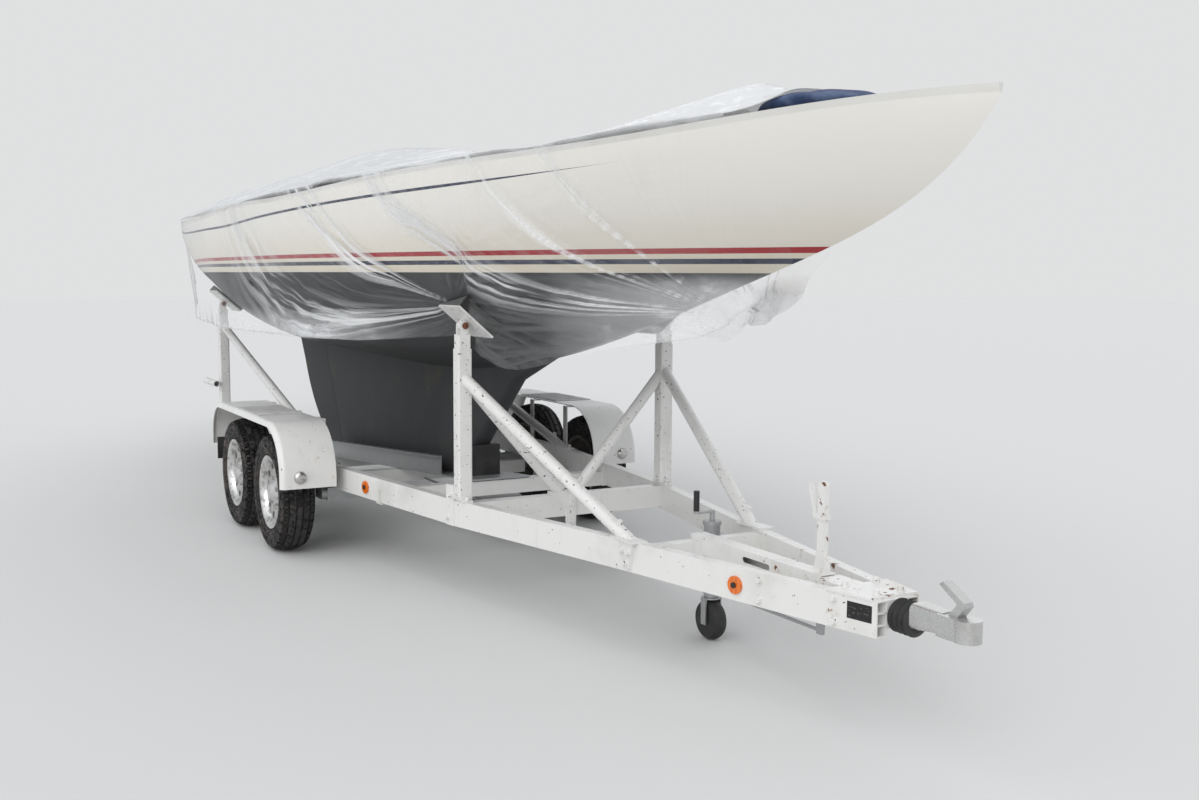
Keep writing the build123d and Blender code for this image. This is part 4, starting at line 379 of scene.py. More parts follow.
# Lower edge of the cover: x, distance from the middle, height
HEM = ((-4.27, 0.25, 1.520), (-3.90, 0.29, 1.370), (-3.10, 0.43, 1.155), (-2.30, 0.60, 1.045),
       (-1.75, 0.70, 1.035), (-1.35, 0.735, 1.030), (-0.95, 0.79, 1.040), (-0.50, 0.865, 1.040),
       (0.60, 0.855, 1.043), (1.40, 0.77, 1.050), (1.72, 0.70, 1.060), (1.98, 0.42, 1.085),
       (2.26, 0.42, 1.100), (2.50, 0.57, 1.050), (2.78, 0.54, 1.000), (2.95, 0.45, 1.040),
       (3.12, 0.26, 1.095), (3.27, 0.11, 1.125), (3.45, 0.06, 1.205), (3.57, 0.05, 1.275),
       (3.70, 0.04, 1.385))
# Where the film is pulled together: name, x, height, reach, plain share, then for each bundle of
# folds its turn about the point, width and strength
PINCHES = (
    ("pad_fan", 2.09, 1.215, 2.4, 0.05, ((2.76, 0.10, 1.0), (3.36, 0.09, 0.8))),
    ("stem_fan", 3.38, 1.210, 1.7, 0.05, ((3.11, 0.06, 1.0), (2.71, 0.030, 0.7), (2.31, 0.025, 0.6))),
)
# The port hem is tucked up ahead of the post: where, how far to each side, share taken in, lift
PORT_TUCK = (2.90, 0.50, 0.42, 0.085)
# Turn of a fold about its point grows with the way along it: per metre, per square metre
FOLD_BEND = (0.10, 0.06)


def surface_tree(names):
    """Search tree of several CAD nodes' meshes together."""
    points, faces = [], []
    for name in names:
        mesh = nodes[name].data
        start = len(points)
        points += [corner.co.copy() for corner in mesh.vertices]
        faces += [[start + spot for spot in face.vertices] for face in mesh.polygons]
    return BVHTree.FromPolygons(points, faces)


def eased(table, x, column):
    """Value of a table at x, with the slope evened out between its rows."""
    rows = np.array(table)
    spots, values = rows[:, 0], rows[:, column]
    slopes = np.gradient(values, spots)
    place = int(np.clip(np.searchsorted(spots, x) - 1, 0, len(spots) - 2))
    run = spots[place + 1] - spots[place]
    t = float(np.clip((x - spots[place]) / run, 0.0, 1.0))
    bends = (2 * t**3 - 3 * t**2 + 1, t**3 - 2 * t**2 + t, 3 * t**2 - 2 * t**3, t**3 - t**2)
    return float(bends[0] * values[place] + bends[1] * run * slopes[place]
                 + bends[2] * values[place + 1] + bends[3] * run * slopes[place + 1])


def ripple(angle, tones, dice, sharp=3.0):
    """Sum of sharpened waves with set phases, from 0 to 1."""
    total = 0.0
    for tone, phase, weight in zip(tones, dice, (0.45, 0.33, 0.22)):
        total = total + weight * (0.5 + 0.5 * np.sin(tone * angle + phase)) ** sharp
    return total


hull_tree = surface_tree(["hull"])
side_tree = surface_tree(["hull", "deck"])
covered_tree = surface_tree(["deck", "coaming", "cuddy", "boom", "mast_plate", "blue_tarpaulin"])
xs = np.linspace(FILM_AFT, FILM_FORE, COLUMNS)
rows = 2 * (TOP_ROWS + SIDE_ROWS) - 1
places = np.zeros((COLUMNS, rows, 3))
fans = {pinch[0]: np.zeros((COLUMNS, rows, 3)) for pinch in PINCHES}
haze_and_painted_light = np.zeros((COLUMNS, rows))
middle = TOP_ROWS + SIDE_ROWS - 1
chance = random.Random(7)
PHASES = {side: [chance.uniform(0.0, 6.283) for _ in range(12)] for side in (-1, 1)}

for column, x in enumerate(xs):
    sheer = float(np.interp(x, [row[0] for row in SHEER], [row[1] for row in SHEER]))
    ridge = eased(RIDGE, x, 1)
    hem_y, hem_z = eased(HEM, x, 1), eased(HEM, x, 2)
    hit = side_tree.ray_cast(Vector((x, -LOOK_FROM, sheer - SHEER_STEP)), Vector((0.0, 1.0, 0.0)))[0]
    beam = (abs(hit.y) if hit else 0.02) + FILM_GAP
    for side in (-1, 1):
        for spot in range(TOP_ROWS + SIDE_ROWS):
            if spot < TOP_ROWS:
                share = spot / (TOP_ROWS - 1)
                y = beam * share
                z = ridge + (sheer + FILM_GAP - ridge) * share ** 1.06
            else:
                share = (spot - TOP_ROWS + 1) / SIDE_ROWS
                tuck = max(0.0, 1.0 - ((x - PORT_TUCK[0]) / PORT_TUCK[1]) ** 2) * (side > 0)
                z = sheer + (hem_z + PORT_TUCK[3] * tuck - sheer) * share
                hung = beam + (hem_y * (1.0 - PORT_TUCK[2] * tuck) - beam) * share
                hit = side_tree.ray_cast(Vector((x, -LOOK_FROM, z)), Vector((0.0, 1.0, 0.0)))[0]
                y = max(hung, abs(hit.y) + FILM_GAP if hit else 0.0)
            places[column, middle + side * spot] = (x, side * y, z)

# The top sinks between what holds it up, as a tight sheet does
held = np.full((COLUMNS, rows), -1.0)
for column, x in enumerate(xs):
    for row in range(middle - TOP_ROWS + 1, middle + TOP_ROWS):
        above = Vector((x, places[column, row, 1], LOOK_FROM))
        hit = covered_tree.ray_cast(above, Vector((0.0, 0.0, -1.0)))[0]
        if hit:
            held[column, row] = hit.z + FILM_GAP
inside = slice(middle - TOP_ROWS + 2, middle + TOP_ROWS - 1)
for _ in range(SINK_PASSES):
    sunk = places[:, :, 2].copy()
    even = (sunk[:, :-2] + sunk[:, 2:]) / 2
    sunk[:, 1:-1] = even
    sunk[:, middle] = places[:, middle, 2]
    places[:, inside, 2] = np.maximum(sunk, held)[:, inside]

# Folds: fans out of the pinches, gathers at the hem and slack lumps over the stern
for side in (-1, 1):
    span = slice(0, middle + 1) if side < 0 else slice(middle, rows)
    x, y, z = (places[:, span, part] for part in range(3))
    dice = PHASES[side]
    index = np.abs(np.arange(rows)[span] - middle)
    down = np.clip((index - TOP_ROWS + 1) / SIDE_ROWS, 0.0, 1.0)[None, :] * np.ones_like(x)
    lift = np.zeros_like(x)
    for name, at_x, at_z, spread, plain, bundles in PINCHES:
        along, over = x - at_x, z - at_z
        reach = np.hypot(along, over)
        turn = np.mod(np.arctan2(over, along), 6.2832)
        turn = turn + FOLD_BEND[0] * reach + FOLD_BEND[1] * reach ** 2
        bright = plain + sum(strong * np.exp(-((turn - middle_turn) / wide) ** 2)
                             for middle_turn, wide, strong in bundles)
        fade = np.exp(-(reach / spread) ** 2)
        near = np.exp(-(reach / (0.5 * spread)) ** 2) * np.clip(reach / 0.30, 0.0, 1.0)
        lift += FAN_LIFT * near * ripple(turn, (17.0, 29.0, 43.0), dice[:3]) * (0.25 + 0.75 * down)
        fans[name][:, span, 0] = turn
        fans[name][:, span, 1] = reach
        fans[name][:, span, 2] = fade * np.clip(bright, 0.0, 1.0) * np.clip((3.66 - x) / 0.35, 0.0, 1.0)
    sway = ripple(x + 0.55 * z, (9.0, 15.7, 26.0), dice[3:6])
    lift += SWAY_LIFT * sway * np.clip(down * 1.6, 0.0, 1.0)
    gather = ripple(x + 0.2 * z, (31.0, 47.0, 71.0), dice[6:9], 2.0)
    ruffle = 1.0 + 1.4 * np.clip((x - 3.0) / 0.3, 0.0, 1.0)
    lift += HEM_LIFT * gather * ruffle * np.clip((down - 0.72) / 0.28, 0.0, 1.0) ** 1.5
    clear_of_pad = np.clip((np.abs(x - PINCHES[0][1]) - TRAPPED_HALF) / TRAPPED_RUN, 0.0, 1.0)
    low_down = np.clip((FREE_BELOW - z) / 0.08, 0.0, 1.0)
    lift *= 1.0 - low_down * (1.0 - clear_of_pad)
    places[:, span, 1] += side * lift
    lumps = ripple(x + 0.8 * y, (5.5, 9.2, 17.0), dice[9:12], 2.0)
    over_deck = np.clip(1.0 - down * 8.0, 0.0, 1.0)
    places[:, span, 2] += LUMP_LIFT * lumps * over_deck * np.clip(np.abs(y) * 6.0, 0.0, 1.0)
    # Whiteness of the sheet, for its shader: near white over the top as a painted highlight, whiter over the
    # stern as a painted reflection where the sheet is seen at a grazing angle, and whiter in the gathers of
    # the hem and under the stem
    clear_peak = 0.30 * np.clip((x - 2.7) / 0.5, 0.0, 1.0)
    top_highlight = (1.0 - clear_peak) * np.clip(1.0 - (index[None, :] - TOP_ROWS + 3) / 3.0, 0.0, 1.0)
    hem_white = 0.46 * np.clip((down - 0.80) / 0.20, 0.0, 1.0) * np.clip((1.9 - x) / 0.6, 0.05, 1.0)
    aft_reflection = 0.46 * np.clip((-0.9 - x) / 2.6, 0.0, 1.0) ** 1.3 * (down > 0)
    stem_white = 0.42 * np.clip((x - 2.9) / 0.5, 0.0, 1.0) * np.clip((FREE_BELOW - z) / 0.06, 0.0, 1.0)
    haze_and_painted_light[:, span] = np.clip(np.maximum(np.maximum(top_highlight, hem_white), stem_white) + aft_reflection, 0.0, 1.0)

mesh = bpy.data.meshes.new("film_cover")
grid = [tuple(place) for line in places for place in line]
quads = [(a * rows + b, a * rows + b + 1, (a + 1) * rows + b + 1, (a + 1) * rows + b)
         for a in range(COLUMNS - 1) for b in range(rows - 1)]
mesh.from_pydata(grid, [], quads)
for name, values in fans.items():
    fan = mesh.attributes.new(name, "FLOAT_VECTOR", "POINT")
    fan.data.foreach_set("vector", values.ravel().astype(np.float32))
clouding_and_painted_light = mesh.attributes.new("haze_and_painted_light", "FLOAT", "POINT")
clouding_and_painted_light.data.foreach_set("value", haze_and_painted_light.ravel().astype(np.float32))
film_cover = bpy.data.objects.new("film_cover", mesh)
bpy.context.scene.collection.objects.link(film_cover)
mesh.shade_smooth()


def finish_modifier(piece, kind, **settings):
    """Adds a modifier and applies it."""
    bpy.ops.object.select_all(action="DESELECT")
    bpy.context.view_layer.objects.active = piece
    piece.select_set(True)
    made = piece.modifiers.new(kind.lower(), kind)
    for name, value in settings.items():
        setattr(made, name, value)
    bpy.ops.object.modifier_apply(modifier=made.name)
    piece.select_set(False)


finish_modifier(film_cover, "SOLIDIFY", thickness=FILM_THICK, offset=0.0)

film, tree, shader, where = material("clear_film", 0.20)
shader.inputs["Base Color"].default_value = FILM_COLOUR
shader.inputs["Specular IOR Level"].default_value = 0.6


def fan_streaks(tree, attribute, number, low, high):
    """Thin folds that run out of a pinch: noise drawn out along the radius, faded with distance."""
    read = wire(tree, "ShaderNodeAttribute", attribute_name=attribute)
    parts = wire(tree, "ShaderNodeSeparateXYZ", {0: read.outputs["Vector"]})
    wander = noise(tree, where, 2.5, 2.0)
    turn = math_of(tree, "ADD", parts.outputs["X"], math_of(tree, "MULTIPLY", wander, 0.10))
    spot = wire(tree, "ShaderNodeCombineXYZ", {0: math_of(tree, "MULTIPLY", turn, number),
                                               1: math_of(tree, "MULTIPLY", parts.outputs["Y"], 1.3)})
    line = wire(tree, "ShaderNodeTexNoise", {"Vector": spot.outputs[0], "Scale": 1.0, "Detail": 5.0,
                                             "Roughness": 0.6}).outputs["Fac"]
    return math_of(tree, "MULTIPLY", step(tree, line, low, high), parts.outputs["Z"])


# The sheet's whiteness from the mesh: haze in the gathers, with the painted highlight over the top and the
# painted reflection over the stern
read_haze_and_painted_light = wire(tree, "ShaderNodeAttribute", attribute_name="haze_and_painted_light").outputs["Fac"]
# White fold lines: creased film, painted whiter as painted highlights on the folds
pad_lines = fan_streaks(tree, "pad_fan", 21.0, 0.44, 0.62)
stem_lines = fan_streaks(tree, "stem_fan", 26.0, 0.44, 0.62)
slant = wire(tree, "ShaderNodeVectorRotate", {"Vector": where, "Angle": 0.75}, rotation_type="Y_AXIS")
drape_lines = step(tree, noise(tree, slant.outputs[0], 8.0, 6.0, (1.0, 1.0, 0.09)), 0.60, 0.80)
crumple = noise(tree, where, 24.0, 6.0, (0.5, 0.5, 1.0), 0.6)
crumple_lines = math_of(tree, "MULTIPLY", step(tree, crumple, 0.52, 0.70), read_haze_and_painted_light)
fold_lines_and_highlights = math_of(tree, "MAXIMUM", math_of(tree, "MAXIMUM", pad_lines, stem_lines),
                math_of(tree, "MULTIPLY", drape_lines, math_of(tree, "MULTIPLY", read_haze_and_painted_light, 0.5)))
cover = math_of(tree, "ADD", math_of(tree, "MULTIPLY", fold_lines_and_highlights, 0.78),
                math_of(tree, "MULTIPLY", crumple_lines, 0.45))
cover = math_of(tree, "ADD", cover, math_of(tree, "MULTIPLY", read_haze_and_painted_light, 0.74))
along = part_of(tree, where, "X")
sheen = math_of(tree, "ADD", math_of(tree, "MULTIPLY", step(tree, along, 1.4, -0.4), 0.040), 0.006)
cover = math_of(tree, "ADD", cover, sheen)
solid = wire(tree, "ShaderNodeClamp", {"Value": cover, "Max": 0.95}).outputs[0]
tree.links.new(solid, shader.inputs["Alpha"])
raised(tree, shader, math_of(tree, "ADD", fold_lines_and_highlights, math_of(tree, "MULTIPLY", crumple, read_haze_and_painted_light)), 0.004, 0.5)
film_cover.data.materials.append(film)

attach(film_cover, "boat_on_trailer")
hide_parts("film_top", "film_port", "film_starboard")

# Trailer frame. Box and round steel tube, welded, painted white by hand, with soiled faces, runs of
# dirt, black specks on the posts and rust breaking through near the nose.
WHITE_PAINT = (0.76, 0.755, 0.735, 1.0)
GRIME = (0.40, 0.38, 0.33, 1.0)
RUST = (0.20, 0.065, 0.022, 1.0)
RUST_HALO = (0.42, 0.22, 0.10, 1.0)
BARE_DARK = (0.055, 0.048, 0.042, 1.0)
STEEL_PAINT_ROUGH, PITTED_ROUGH = 0.36, 0.85


def painted_steel(name, speck=0.70, rust=0.74, rust_from=3.0, patch=15.0):
    """White paint on steel: grime, dark specks above a noise level, and rust ahead of an x."""
    finish, tree, shader, where = material(name, STEEL_PAINT_ROUGH, coat=0.15)
    soil = step(tree, noise(tree, where, 4.5, 7.0), 0.48, 0.80)
    runs = step(tree, noise(tree, where, 30.0, 4.0, (1.0, 1.0, 0.07)), 0.56, 0.80)
    colour = mixed(tree, math_of(tree, "MULTIPLY", soil, 0.34), WHITE_PAINT, GRIME)
    colour = mixed(tree, math_of(tree, "MULTIPLY", runs, 0.22), colour, GRIME)
    chips = step(tree, noise(tree, where, 75.0, 3.0), speck, speck + 0.02)
    colour = mixed(tree, chips, colour, BARE_DARK)
    along = part_of(tree, where, "X")
    forward = step(tree, along, rust_from, rust_from + 1.2)
    decay = math_of(tree, "ADD", noise(tree, where, patch, 8.0), math_of(tree, "MULTIPLY", forward, 0.10))
    rusted = step(tree, decay, rust, rust + 0.03)
    halo = step(tree, decay, rust - 0.06, rust)
    colour = mixed(tree, math_of(tree, "MULTIPLY", halo, 0.25), colour, RUST_HALO)
    colour = mixed(tree, rusted, colour, mixed(tree, noise(tree, where, 90.0), RUST, BARE_DARK))
    tree.links.new(colour, shader.inputs["Base Color"])
    pitted = math_of(tree, "MAXIMUM", chips, rusted)
    roughened(tree, shader, pitted, STEEL_PAINT_ROUGH, PITTED_ROUGH)
    brushed = noise(tree, where, 110.0, 2.0, (0.35, 1.0, 1.0))
    relief = math_of(tree, "SUBTRACT", math_of(tree, "MULTIPLY", brushed, 0.25), pitted)
    raised(tree, shader, relief, 0.0011, 0.7)
    return finish


frame_paint = painted_steel("white_frame_paint")
post_paint = painted_steel("white_post_paint", speck=0.655)
nose_paint = painted_steel("white_nose_paint", speck=0.72, rust=0.735, rust_from=2.6, patch=34.0)
dress(["rails", "drawbars", "cross_beams", "keel_beams", "frame_plates", "mudguard_port",
       "mudguard_starboard"], frame_paint)
dress(["posts", "post_inners", "braces", "pad_forks", "pad_plates", "light_sleeves"], post_paint)
dress(["overrun_tube", "overrun_housing", "brake_lever", "release_lever"], nose_paint)

# Galvanised and zinc-plated steel: the keel bed with its dull spangle, the half-axle units, the jockey
# and its rod in a finer coat, and the brighter cast head of the coupling.
ZINC = (0.44, 0.45, 0.455, 1.0)
ZINC_BLOOM = (0.62, 0.62, 0.61, 1.0)
ZINC_SOIL = (0.26, 0.24, 0.21, 1.0)
BRIGHT_ZINC = (0.60, 0.60, 0.59, 1.0)


def galvanised(name, rough=0.46, colour=ZINC, grain=26.0, contrast=0.82):
    """Hot-dip zinc with its spangle, and pale bloom in places."""
    finish, tree, shader, where = material(name, rough, metal=0.75)
    spangle = wire(tree, "ShaderNodeTexVoronoi", {"Vector": where, "Scale": grain * 4.0}, feature="F1")
    tone = part_of(tree, spangle.outputs["Color"], "X")
    darker = tuple(contrast * part for part in colour[:3]) + (1.0,)
    face = mixed(tree, tone, darker, colour)
    bloom = step(tree, noise(tree, where, grain * 0.35, 7.0), 0.50, 0.75)
    face = mixed(tree, math_of(tree, "MULTIPLY", bloom, 0.4), face, ZINC_BLOOM)
    soil = step(tree, noise(tree, where, 9.0, 6.0), 0.50, 0.78)
    face = mixed(tree, math_of(tree, "MULTIPLY", soil, 0.35), face, ZINC_SOIL)
    tree.links.new(face, shader.inputs["Base Color"])
    roughened(tree, shader, tone, rough - 0.06, rough + 0.10)
    raised(tree, shader, tone, 0.0003, 0.3)
    return finish


bed_zinc = galvanised("galvanised_channel")
jockey_zinc = galvanised("galvanised_jockey", 0.40, contrast=0.9)
dress(["keel_bed", "suspension"], bed_zinc)
dress(["jockey_sleeve", "jockey_leg", "jockey_fork", "brake_rod", "mast_plate"], jockey_zinc)
dress(["coupling_head", "coupling_handle", "overrun_shaft"],
      galvanised("zinc_plated_coupling", 0.28, BRIGHT_ZINC, 90.0, 0.94))

# Crank of the jockey. Bent from steel rod and zinc plated, with a black moulded grip pressed on
# above the arm.
GRIP_FROM = 0.484
WORN_ZINC = (0.27, 0.26, 0.24, 1.0)
GRIP_BLACK = (0.014, 0.014, 0.015, 1.0)
crank_finish, tree, shader, where = material("crank_with_black_grip", 0.42)
grip = step(tree, part_of(tree, where, "Z"), GRIP_FROM, GRIP_FROM + 0.001)
worn = step(tree, noise(tree, where, 40.0, 4.0), 0.45, 0.75)
steel = mixed(tree, math_of(tree, "MULTIPLY", worn, 0.5), ZINC, WORN_ZINC)
tree.links.new(mixed(tree, grip, steel, GRIP_BLACK), shader.inputs["Base Color"])
bare = math_of(tree, "MULTIPLY", math_of(tree, "SUBTRACT", 1.0, grip), 0.75)
tree.links.new(bare, shader.inputs["Metallic"])
raised(tree, shader, worn, 0.0004, 0.4)
dress(["jockey_crank"], crank_finish)

# Black rubber, greyed by dust: the stop block at the keel's toe, the moulded bellows over the
# overrun shaft, the flaps behind the wheels and the jockey's solid wheel.
RUBBER = (0.018, 0.018, 0.019, 1.0)
RUBBER_DUST = (0.085, 0.080, 0.072, 1.0)

black_rubber, tree, shader, where = material("black_rubber", 0.62)
dusty = step(tree, noise(tree, where, 11.0, 8.0), 0.42, 0.78)
tree.links.new(mixed(tree, math_of(tree, "MULTIPLY", dusty, 0.35), RUBBER, RUBBER_DUST),
               shader.inputs["Base Color"])
raised(tree, shader, noise(tree, where, 240.0, 3.0), 0.0005, 0.5)
dress(["keel_stop", "bellows", "jockey_wheel", "mud_flaps"], black_rubber)

# Step mats. Ribbed rubber treads on the tops of the mudguards, bleached pale by the weather and
# darker in the grooves and where they are walked on.
MAT_PALE, MAT_WALKED = (0.66, 0.66, 0.65, 1.0), (0.40, 0.39, 0.37, 1.0)
MAT_GROOVE = (0.30, 0.30, 0.29, 1.0)

mat_finish, tree, shader, where = material("pale_step_mat", 0.5)
walked = step(tree, noise(tree, where, 14.0, 7.0), 0.45, 0.70)
tread = wire(tree, "ShaderNodeTexWave", {"Vector": where, "Scale": 24.0, "Distortion": 0.0},
             bands_direction="X")
face = mixed(tree, math_of(tree, "MULTIPLY", walked, 0.5), MAT_PALE, MAT_WALKED)
groove = math_of(tree, "MULTIPLY", step(tree, tread.outputs["Fac"], 0.45, 0.15), 0.35)
face = mixed(tree, groove, face, MAT_GROOVE)
tree.links.new(face, shader.inputs["Base Color"])
raised(tree, shader, tread.outputs["Fac"], 0.001, 0.5)
dress(["step_mats"], mat_finish)

# Side reflectors. Round amber prisms in moulded plastic, on the rails and the drawbars, each held by
# one screw through its middle.
AMBER, AMBER_DEEP = (0.90, 0.24, 0.015, 1.0), (0.62, 0.10, 0.006, 1.0)

amber, tree, shader, where = material("amber_prism", 0.12, coat=0.6)
prism = wire(tree, "ShaderNodeTexVoronoi", {"Vector": where, "Scale": 260.0, "Randomness": 0.15},
             feature="F1")
tree.links.new(mixed(tree, step(tree, prism.outputs["Distance"], 0.2, 0.7), AMBER, AMBER_DEEP),
               shader.inputs["Base Color"])
raised(tree, shader, prism.outputs["Distance"], 0.0008, 0.5)
dress(["reflectors"], amber)

# Alloy rims. Cast aluminium, machined on the lip and painted silver, with flecks of brown brake dust.
# Behind the face they are painted dark brown, partly brake dust and partly painted shade in the recess.
WHEEL_Y = 0.851
FACE_Y = 0.889
RIM_SILVER = (0.66, 0.66, 0.65, 1.0)
BRAKE_DUST_AND_SHADE = (0.105, 0.085, 0.070, 1.0)

alloy, tree, shader, where = material("cast_alloy", 0.34, metal=0.85)
deep = math_of(tree, "ABSOLUTE", part_of(tree, where, "Y"))
# Painted shade: the rim is painted brown behind its face, in the recess, as shade together with brake dust
recess_shade_and_dust = step(tree, deep, FACE_Y + 0.010, FACE_Y - 0.016)
flecks = step(tree, noise(tree, where, 30.0, 6.0), 0.46, 0.66)
dust_and_recess_shade = math_of(tree, "MAXIMUM", math_of(tree, "MULTIPLY", recess_shade_and_dust, 0.75),
                 math_of(tree, "MULTIPLY", flecks, 0.55))
tree.links.new(mixed(tree, dust_and_recess_shade, RIM_SILVER, BRAKE_DUST_AND_SHADE), shader.inputs["Base Color"])
roughened(tree, shader, dust_and_recess_shade, 0.28, 0.75)
raised(tree, shader, noise(tree, where, 300.0, 3.0), 0.0003, 0.4)

# Tyres. Radial car tyres, worn, with four grooves round the tread, slots across both shoulders and
# raised rings on the sidewalls. The rubber is browned by dust, most of all on the sidewalls.
HUB_Z = 0.286
TYRE_BLACK = (0.020, 0.0195, 0.020, 1.0)
ROAD_DUST = (0.115, 0.088, 0.075, 1.0)
# Half of the section from the bead out: distance from the middle, radius
TYRE_SECTION = ((0.064, 0.169), (0.064, 0.1775), (0.071, 0.186), (0.0722, 0.1885), (0.0735, 0.1885),
                (0.078, 0.199), (0.0815, 0.213), (0.0832, 0.2145), (0.0834, 0.2175), (0.0820, 0.2190),
                (0.0828, 0.232), (0.0815, 0.245), (0.0790, 0.256), (0.0745, 0.265), (0.0680, 0.2705),
                (0.0560, 0.2765), (0.0535, 0.2775), (0.0525, 0.2712), (0.0465, 0.2720), (0.0455, 0.2802),
                (0.0250, 0.2842), (0.0190, 0.2848), (0.0180, 0.2775), (0.0120, 0.2777), (0.0110, 0.2855))
STEPS_ROUND = 132
SLOT_EVERY = 3
SLOT_DEEP = 0.0055
# Shoulder that the slots cross: from the middle, to, and outside this radius
SLOT_FROM, SLOT_TO, SLOT_RADIUS = 0.054, 0.076, 0.262


def open_edit(piece, kind="FACE"):
    """Edit mode on one piece, with nothing in it selected."""
    bpy.ops.object.select_all(action="DESELECT")
    bpy.context.view_layer.objects.active = piece
    piece.select_set(True)
    bpy.ops.object.mode_set(mode="EDIT")
    bpy.ops.mesh.select_mode(type=kind)
    bpy.ops.mesh.select_all(action="DESELECT")


def pick_faces(piece, test):
    """Selects the faces that pass a test, from edit mode."""
    bpy.ops.object.mode_set(mode="OBJECT")
    for face in piece.data.polygons:
        face.select = test(face)
    bpy.ops.object.mode_set(mode="EDIT")


def close_edit(piece, smooth=35.0):
    """Normals outwards, back to object mode, smooth where the surface is."""
    bpy.ops.mesh.select_all(action="SELECT")
    bpy.ops.mesh.normals_make_consistent(inside=False)
    bpy.ops.object.mode_set(mode="OBJECT")
    bpy.ops.object.shade_smooth_by_angle(angle=math.radians(smooth))
    piece.select_set(False)


whole = TYRE_SECTION + tuple((-across, radius) for across, radius in reversed(TYRE_SECTION))
bpy.ops.mesh.primitive_circle_add(vertices=STEPS_ROUND, radius=whole[0][1],
                                  location=(0.0, whole[0][0], 0.0), rotation=(math.pi / 2, 0.0, 0.0))
tyre = bpy.context.active_object
bpy.ops.object.transform_apply(location=True, rotation=True, scale=True)
open_edit(tyre, "EDGE")
bpy.ops.mesh.select_all(action="SELECT")
for (was, small), (across, radius) in zip(whole, whole[1:] + whole[:1]):
    bpy.ops.mesh.extrude_region_move(TRANSFORM_OT_translate={"value": (0.0, across - was, 0.0)})
    bpy.ops.transform.resize(value=(radius / small, 1.0, radius / small), center_override=(0.0, across, 0.0))
bpy.ops.mesh.select_all(action="SELECT")
bpy.ops.mesh.remove_doubles(threshold=0.00005)
bpy.ops.mesh.select_mode(type="FACE")


def shoulder_slot(face):
    """A face of every third step, on the outer band of the tread."""
    turn = math.atan2(face.center.z, face.center.x) / (2 * math.pi) * STEPS_ROUND
    outer = math.hypot(face.center.x, face.center.z) > SLOT_RADIUS
    return SLOT_FROM < abs(face.center.y) < SLOT_TO and outer and int(turn + STEPS_ROUND) % SLOT_EVERY == 0


pick_faces(tyre, shoulder_slot)
bpy.ops.mesh.extrude_region_shrink_fatten(TRANSFORM_OT_shrink_fatten={"value": -SLOT_DEEP})
close_edit(tyre)

tyre_rubber, tree, shader, where = material("tyre_rubber", 0.66)
dusty = step(tree, noise(tree, where, 9.0, 8.0), 0.40, 0.75)
off_middle = math_of(tree, "ABSOLUTE", part_of(tree, where, "Y"))
wall_dust = step(tree, off_middle, WHEEL_Y + 0.060, WHEEL_Y + 0.080)
dust_share = math_of(tree, "ADD", math_of(tree, "MULTIPLY", wall_dust, 0.55), 0.25)
tree.links.new(mixed(tree, math_of(tree, "MULTIPLY", dusty, dust_share), TYRE_BLACK, ROAD_DUST),
               shader.inputs["Base Color"])
raised(tree, shader, noise(tree, where, 220.0, 4.0), 0.0006, 0.5)
tyre.data.materials.append(tyre_rubber)

# Wheel bolts. Five zinc-plated bolts hold each wheel to its hub, with their hexagon heads on
# washers that bed a little into the rim.
BOLTS_EACH = 5
BOLT_CIRCLE = 0.066
FIRST_BOLT = 0.3
BOLT_BEDDED = 0.0012
# Rays that seat small pieces on the trailer start this far out to the side
BESIDE = 1.2
BOLT_ZINC = (0.52, 0.52, 0.50, 1.0)
HEAD_R, HEAD_HIGH = 0.0098, 0.012
HEAD_WASHER_R, WASHER_HIGH = 0.0135, 0.0022


def joined(pieces, name):
    """Several pieces made one, on the first of them."""
    bpy.ops.object.select_all(action="DESELECT")
    for piece in pieces:
        piece.select_set(True)
    bpy.context.view_layer.objects.active = pieces[0]
    if len(pieces) > 1:
        bpy.ops.object.join()
    one = bpy.context.active_object
    one.name = name
    one.select_set(False)
    return one


def hexagon_bolt(name):
    """One bolt head on its washer, standing on the origin: chamfered on top, dished in the middle."""
    bpy.ops.mesh.primitive_cylinder_add(vertices=24, radius=HEAD_WASHER_R, depth=WASHER_HIGH,
                                        location=(0.0, 0.0, WASHER_HIGH / 2))
    washer = bpy.context.active_object
    bpy.ops.object.transform_apply(location=True, rotation=True, scale=True)
    open_edit(washer)
    pick_faces(washer, lambda face: face.normal.z > 0.9)
    bpy.ops.mesh.bevel(offset=0.0006, segments=1)
    close_edit(washer)
    bpy.ops.mesh.primitive_cylinder_add(vertices=6, radius=HEAD_R, depth=HEAD_HIGH,
                                        location=(0.0, 0.0, WASHER_HIGH + HEAD_HIGH / 2))
    head = bpy.context.active_object
    bpy.ops.object.transform_apply(location=True, rotation=True, scale=True)
    open_edit(head)
    pick_faces(head, lambda face: face.normal.z > 0.9)
    bpy.ops.mesh.inset(thickness=0.0016)
    bpy.ops.transform.translate(value=(0.0, 0.0, 0.0010))
    bpy.ops.mesh.inset(thickness=0.0030)
    bpy.ops.transform.translate(value=(0.0, 0.0, -0.0008))
    close_edit(head, 25.0)
    return joined([head, washer], name)


def strewn(model, name, spots, finish):
    """Copies of a small model, each on its spot and facing away from it, joined into one piece."""
    copies = []
    for place, out in spots:
        copy = bpy.data.objects.new(name, model.data.copy())
        facing = Vector(out).to_track_quat("Z", "Y").to_matrix().to_4x4()
        copy.data.transform(Matrix.Translation(place) @ facing)
        bpy.context.scene.collection.objects.link(copy)
        copies.append(copy)
    piece = joined(copies, name)
    piece.data.materials.clear()
    piece.data.materials.append(finish)
    return piece


